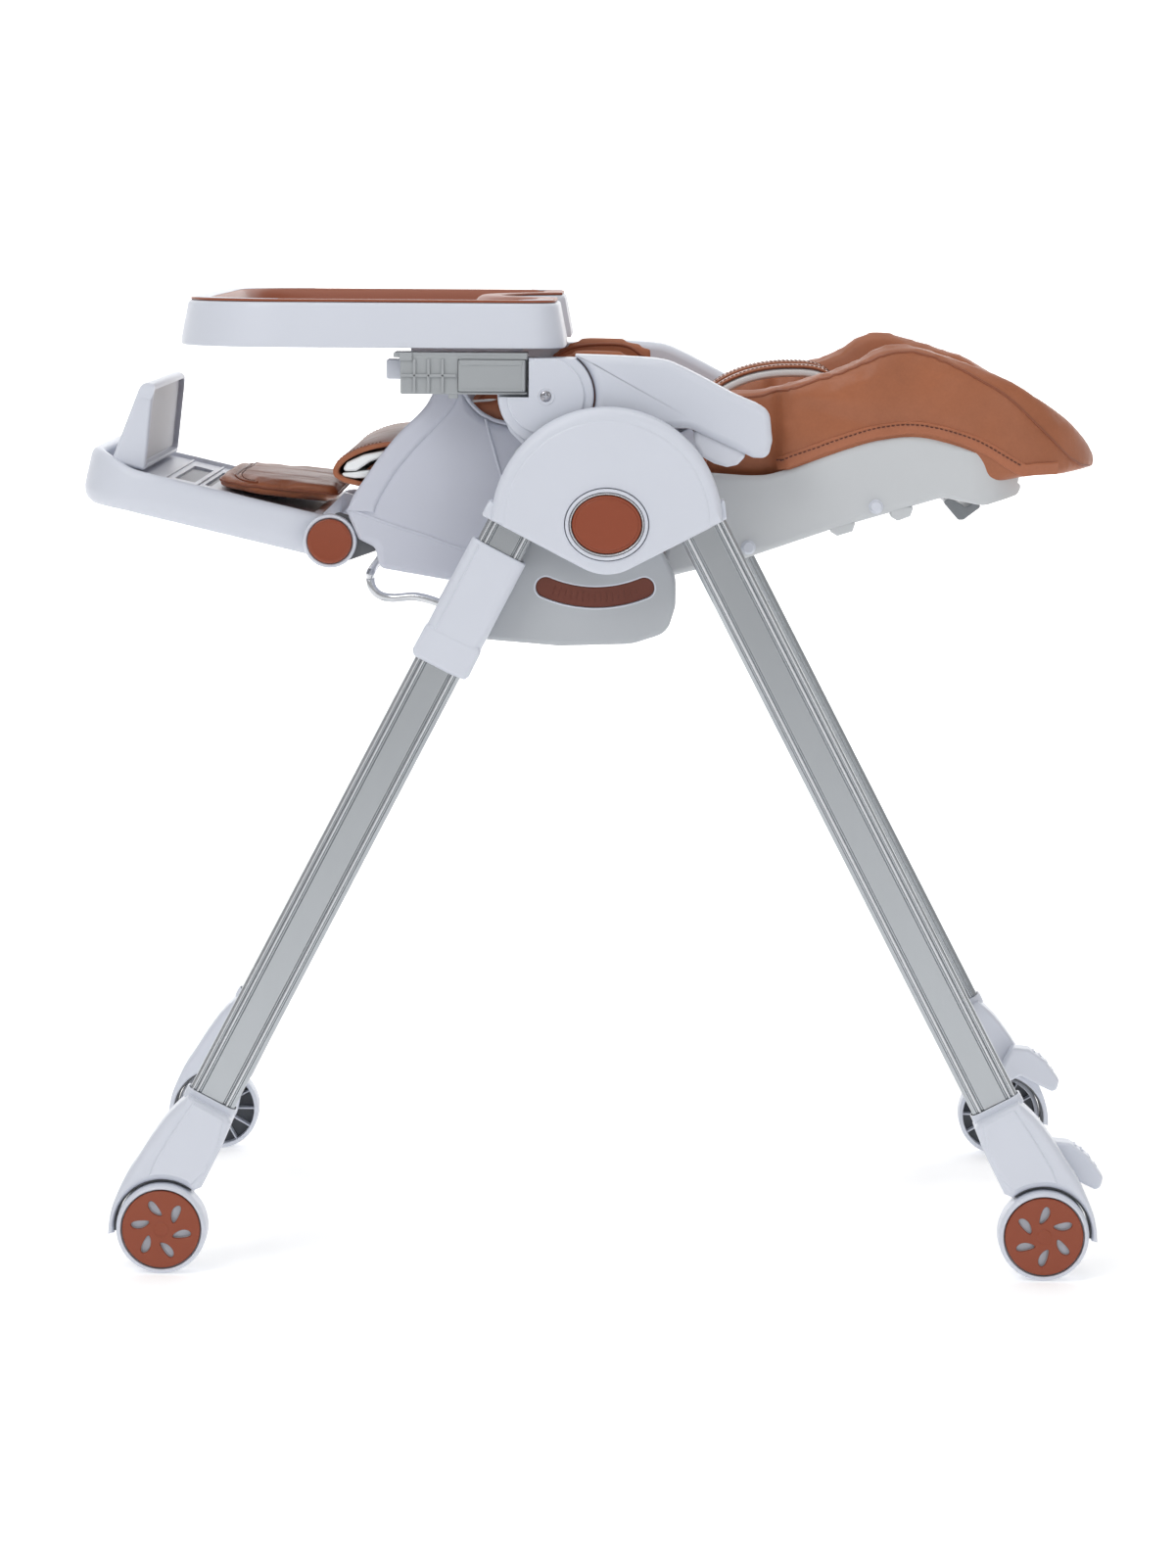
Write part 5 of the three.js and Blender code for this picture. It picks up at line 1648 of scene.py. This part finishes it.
roll, lining = nose_roll()
roll_piece = soft_part("seat_nose_band", roll, "leather", "seat", angle=50)
soft_part("seat_nose_lining", lining, "webbing", "seat", angle=50)
nose_line = [(-196, 710), (-212, 706), (-227, 699), (-237, 690)]
threads = [stitches([(x, y, z) for y, z in nose_line], surface(roll_piece.data)) for x in (179, -179)]
place("seat_nose_stitches", merged(*threads), "thread", "seat", angle=80)


def crotch_strap_parts():
    """The strap that rises between the legs, and its two rows of stitches."""
    line = spline([(-146, 700), (-146.5, 714), (-142, 727), (-131, 734.5), (-112, 737), (-102, 737)], 6)
    path = [Vector((0, *point)) for point in line]
    normals = side_normals(path)
    rows = [stitches(raised(path, normals, 2.3, across)[2:-2], None, radius=0.34)
            for across in (-13.5, 13.5)]
    return strap(path, normals, 33, 5.4), merged(*rows)


band, rows = crotch_strap_parts()
soft_part("crotch_strap_band", band, "webbing", "seat", ["crotch_strap"])
place("crotch_strap_stitches", rows, "webbing", "seat", angle=80)


# ---------------------------------------------------------------- footrest
FOOT_Y, FOOT_Z = -241.0, 624.0
FOOT_RISE = math.radians(13.1)
FOOTREST_HALF, FOOTREST_LENGTH = 172.0, 225.0
FOOTREST_LOW, FOOTREST_HIGH = -18.0, 19.0


def on_foot(along, up, x):
    c, s = math.cos(FOOT_RISE), math.sin(FOOT_RISE)
    return (x, FOOT_Y - c * along + s * up, FOOT_Z + s * along + c * up)


def foot_plan(half, length, corner, start, rear):
    return (arc(-half + rear, start + rear, rear, 180, 270, 5)
            + arc(half - rear, start + rear, rear, 270, 360, 5)
            + arc(half - corner, length - corner, corner, 0, 90, 24)
            + arc(-half + corner, length - corner, corner, 90, 180, 24))


def in_plan(a, b, up):
    """For a plate that is drawn in the footrest's plan: across, along, and up from its middle plane."""
    return on_foot(b, up, a)


def foot_box(x0, x1, a0, a1, u0, u1, radius, rim):
    return plate(fillet(rectangle(x0, x1, a0, a1), radius, 5), u0, u1, rim, steps=2, put=in_plan)


def footrest_tray():
    """One moulding: a hollow underside, a rolled wall that rises at the nose, and a shallow recess on top."""
    half, length, low, high = FOOTREST_HALF, FOOTREST_LENGTH, FOOTREST_LOW, FOOTREST_HIGH

    def ring(step, up, start, rear, swell=True):
        points = foot_plan(half - step, length - step, max(62 - step, 20), start, rear)
        made = []
        for x, along in points:
            share = max(0.0, min(1.0, (along - 176) / 48))
            share = share * share * (3 - 2 * share)
            rise, drop = (max(0.0, min(1.0, part / 14)) for part in (up + 4, -up))
            made.append(on_foot(along, up + ((9.5 * rise - 3.0 * drop) * share if swell else 0), x))
        return made
    rings = [ring(8, 10.5, 24, 8, False), ring(7, low + 5, 24, 8, False), ring(9, low + 0.8, 22, 7),
             ring(14, low, -13, 5), ring(9.5, low + 0.9, -15.6, 5), ring(5, low + 3.4, -17.2, 5),
             ring(1.8, low + 7.2, -18.2, 5), ring(0.3, low + 12, -18.5, 5), ring(0, low + 17, -18.5, 5),
             ring(0, high - 8, -18.5, 5), ring(0.5, high - 4.6, -18.2, 5), ring(1.9, high - 2, -17.2, 5),
             ring(4, high - 0.5, -15.4, 5), ring(6.5, high, -13, 5), ring(9, high, 18, 7),
             ring(10.6, high - 0.6, 20, 8), ring(11.5, high - 1.8, 21, 8), ring(12, high - 3, 21.6, 8),
             ring(12.8, high - 3.8, 22.4, 8, False)]
    body = loft(rings, caps=(1, 1))
    cutters = (foot_box(-half + 17, half - 17, -30, 13, -30, 30, 1, 0),
               foot_box(-97, 97, 132, 150, 5, 30, 4, 0), foot_box(-97, 97, 117, 123, 5, 30, 2, 0))
    for cutter in cutters:
        body = carved(body, [cutter])
    return body


def footrest_details():
    """Two ledges across the recess, and the round pivots at its root."""
    half = FOOTREST_HALF
    parts = [foot_box(-half + 22, half - 22, a, a + 2.4, 14.6, 16.9, 1.1, 0.7) for a in (126.5, 155)]
    for sign in (1, -1):
        parts.append(spun([(0.2, 0), (9.5, 0), (9.5, 5.2), (8.6, 6.2), (0.2, 6.2)], FOOT_Y, FOOT_Z, 40))
        parts[-1].transform(Matrix.Translation((sign * (half - 20), 0, 0)) @ Matrix.Scale(sign, 4, (1, 0, 0)))
    return merged(*parts)


def footrest_runner():
    return foot_box(-104, 104, 114, 155, 11.4, 12.6, 3, 0.4)


place("footrest_tray", footrest_tray(), "white", "footrest", ["footrest"], angle=32)
place("footrest_ledges", footrest_details(), "white", "footrest")
place("footrest_runner", footrest_runner(), "plate", "footrest")


def foot_plate_parts():
    up = FOOTREST_HIGH + 0.3
    side = fillet([(172.5, up, 3), (203.5, up, 4), (193, up + 74.6, 8), (181.5, up + 74.6, 5)], 5)
    wedge = plate(side, -152, 152, 4.2, steps=6, put=on_foot)
    lean = 9 / 74.6

    def face(a, b, u):
        """Drawn on the plate's inner face: across, up it, and in from it."""
        return on_foot(172.5 + lean * b + u, up + b, a)
    recess = plate(fillet([(-147, 5, 6), (147, 5, 6), (147, 70, 16), (-147, 70, 16)], 9, 8), -20, 5.5, 0.8,
                   steps=3, put=face)
    corners = plate(fillet([(-153, -4, 2), (153, -4, 2), (153, 75.2, 22), (-153, 75.2, 22)], 9, 10), -20,
                    60, 0, steps=1, put=face)
    body = carved(carved(wedge, [corners], "INTERSECT"), [recess])
    panel = plate(fillet([(-146.2, 5.7, 6), (146.2, 5.7, 6), (146.2, 69.3, 15), (-146.2, 69.3, 15)], 9, 8),
                  4.6, 6.6, 1.4, steps=3, put=face)
    return body, panel


body, panel = foot_plate_parts()
place("foot_plate_body", body, "white", "foot_plate", ["foot_plate"], angle=34)
place("foot_plate_face", panel, "inner_face", "foot_plate")


# ---------------------------------------------------------------- calf pad
def pad_base(along):
    return between([(0, 28), (30, 25.2), (60, 21.6), (90, 18.4), (118, 16.6)], along)


def pad_thick(along):
    return between([(0, 13.6), (60, 13.0), (118, 10.4)], along)


def calf_put(a, b, u):
    return on_foot(b, pad_base(b) + pad_thick(b) * u, a)


def calf_pad_solid():
    """A flat pillow: its rim is rolled by lofting the plan outline in over the pad's thickness."""
    plan = turned_to(foot_plan(129, 113, 44, 3, 12), True)
    rings = []
    for k in range(9):
        angle = math.pi * (k / 8 - 0.5)
        moved = inset(plan, 5.5 * (1 - math.cos(angle))) if abs(math.cos(angle)) < 0.999 else plan
        rings.append([calf_put(a, b, 0.5 + 0.5 * math.sin(angle)) for a, b in moved])
    return loft(rings, caps=(1, 1))


def held_at_underside(x, y, z):
    """1 below the plane that parts the pad's underside from its top."""
    up = (z - FOOT_Z) * math.cos(FOOT_RISE) + (y - FOOT_Y) * math.sin(FOOT_RISE)
    return 1.0 if up < 24 else 0.0


def end_line(along, dip, reach):
    """Across the pad's far end, curving back towards its corners."""
    return [calf_put(x, along - dip * max(0.0, (abs(x) - 84) / 45) ** 2, 1.15)
            for x in range(-reach, reach + 1, 6)]


calf = inflated(calf_pad_solid(), "calf_soft", 4.5, 3.0, held_at_underside)
end_seam = end_line(99, 26, 128)
pressed(calf, [end_seam], 2.4, 3.6)
pressed(calf, [[calf_put(x, a, 1.15) for a in range(8, 98, 6)] for x in (-44, 44)], 0.9, 5.0)
creased(calf, 0.8, (36, 26, 18), 12.4, lambda x, y, z: 1.0)
soft_piece("calf_pad_cover", calf, "leather", "footrest", ["calf_pad"])
calf_near = surface(calf)
rim_line = [calf_put(a, b, 0.62) for a, b in foot_plan(130.5, 114.5, 44, 2, 12)]
cords = [tube(lay(end_seam, calf_near, 0.4), 1.2, 10),
         tube(lay(rim_line, calf_near, 0.2), 1.3, 10, closed=True)]
place("calf_pad_piping", merged(*cords), "leather_side", "footrest", angle=80)
threads = stitches(end_line(94, 24, 120), lambda p, h: calf_near(p, h + 0.1))
place("calf_pad_stitches", threads, "thread", "footrest", angle=80)


# ---------------------------------------------------------------- floor, light and camera
def stage_floor():
    """A pale sweep: floor, a wide curve, and a wall on the far side."""
    bm = bmesh.new()
    front, back, bend, height, half_width = 9.0, -6.0, 1.6, 7.0, 11.0
    profile = [(front, 0.0), (back, 0.0)]
    for k in range(1, 25):
        angle = math.pi / 2 * k / 24
        profile.append((back - bend * math.sin(angle), bend - bend * math.cos(angle)))
    profile.append((back - bend, height))
    rows = [[bm.verts.new((x, y, z)) for y in (-half_width, half_width)] for x, z in profile]
    for first, second in zip(rows, rows[1:]):
        bm.faces.new((first[0], first[1], second[1], second[0]))
    mesh = smooth(from_bmesh(bm))
    floor = new_object("studio_sweep", mesh)
    nodes = Nodes("studio_paper")
    nodes.tint(nodes.spread(nodes.noise(1.3, 2), 0, 1), (0.90, 0.90, 0.905, 1), (0.93, 0.93, 0.93, 1))
    nodes.settings(Roughness=0.9, Specular_IOR_Level=0.1, Emission_Color=(1, 1, 1, 1), Emission_Strength=0.3)
    mesh.materials.append(nodes.material)
    floor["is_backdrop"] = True


def panel_light(name, place_at, aim, size, power):
    data = bpy.data.lights.new(name, "AREA")
    data.shape, data.size, data.size_y = "RECTANGLE", size[0], size[1]
    data.energy = power
    lamp = new_object(name, data)
    lamp.location = place_at
    lamp.rotation_mode = "QUATERNION"
    lamp.rotation_quaternion = (Vector(aim) - Vector(place_at)).to_track_quat("-Z", "Y")
    lamp.visible_camera = False


def camera():
    """The view fitted to the photo. Its long side is its height, and 36 mm of film lies along it."""
    data = bpy.data.cameras.new("photo_angle")
    data.lens, data.sensor_width, data.clip_end = 115.65, 36, 60
    eye = new_object("photo_angle", data)
    right = Vector((-0.013281, 0.999894, 0.005991))
    up = Vector((-0.117312, -0.007508, 0.993067))
    back = right.cross(up).normalized()
    up = back.cross(right).normalized()
    turn = Matrix((right.normalized(), up, back)).transposed()
    eye.matrix_world = Matrix.Translation((4.545, FOLD_Y / 1000 + 0.0386, 0.9289)) @ turn.to_4x4()
    bpy.context.scene.camera = eye


def world():
    sky = bpy.data.worlds.new("studio")
    sky.use_nodes = True
    backdrop = sky.node_tree.nodes["Background"]
    backdrop.inputs[0].default_value, backdrop.inputs[1].default_value = (1, 1, 1, 1), 0.42
    bpy.context.scene.world = sky
    bpy.context.scene.view_settings.view_transform = "Standard"


stage_floor()
world()
camera()
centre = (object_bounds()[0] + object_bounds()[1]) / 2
panel_light("key", (2.6, -1.8, 3.2), centre, (1.8, 1.8), 42)
panel_light("fill", (3.2, 2.4, 1.6), centre, (2.2, 2.2), 16)
panel_light("top", (0.2, 0.0, 3.6), centre, (3.0, 3.0), 30)
panel_light("wash_left", (-3.6, -2.4, 3.6), (-6.6, -1.2, 0.2), (3.5, 2.0), 150)
panel_light("wash_right", (-3.6, 2.4, 3.6), (-6.6, 1.2, 0.2), (3.5, 2.0), 150)
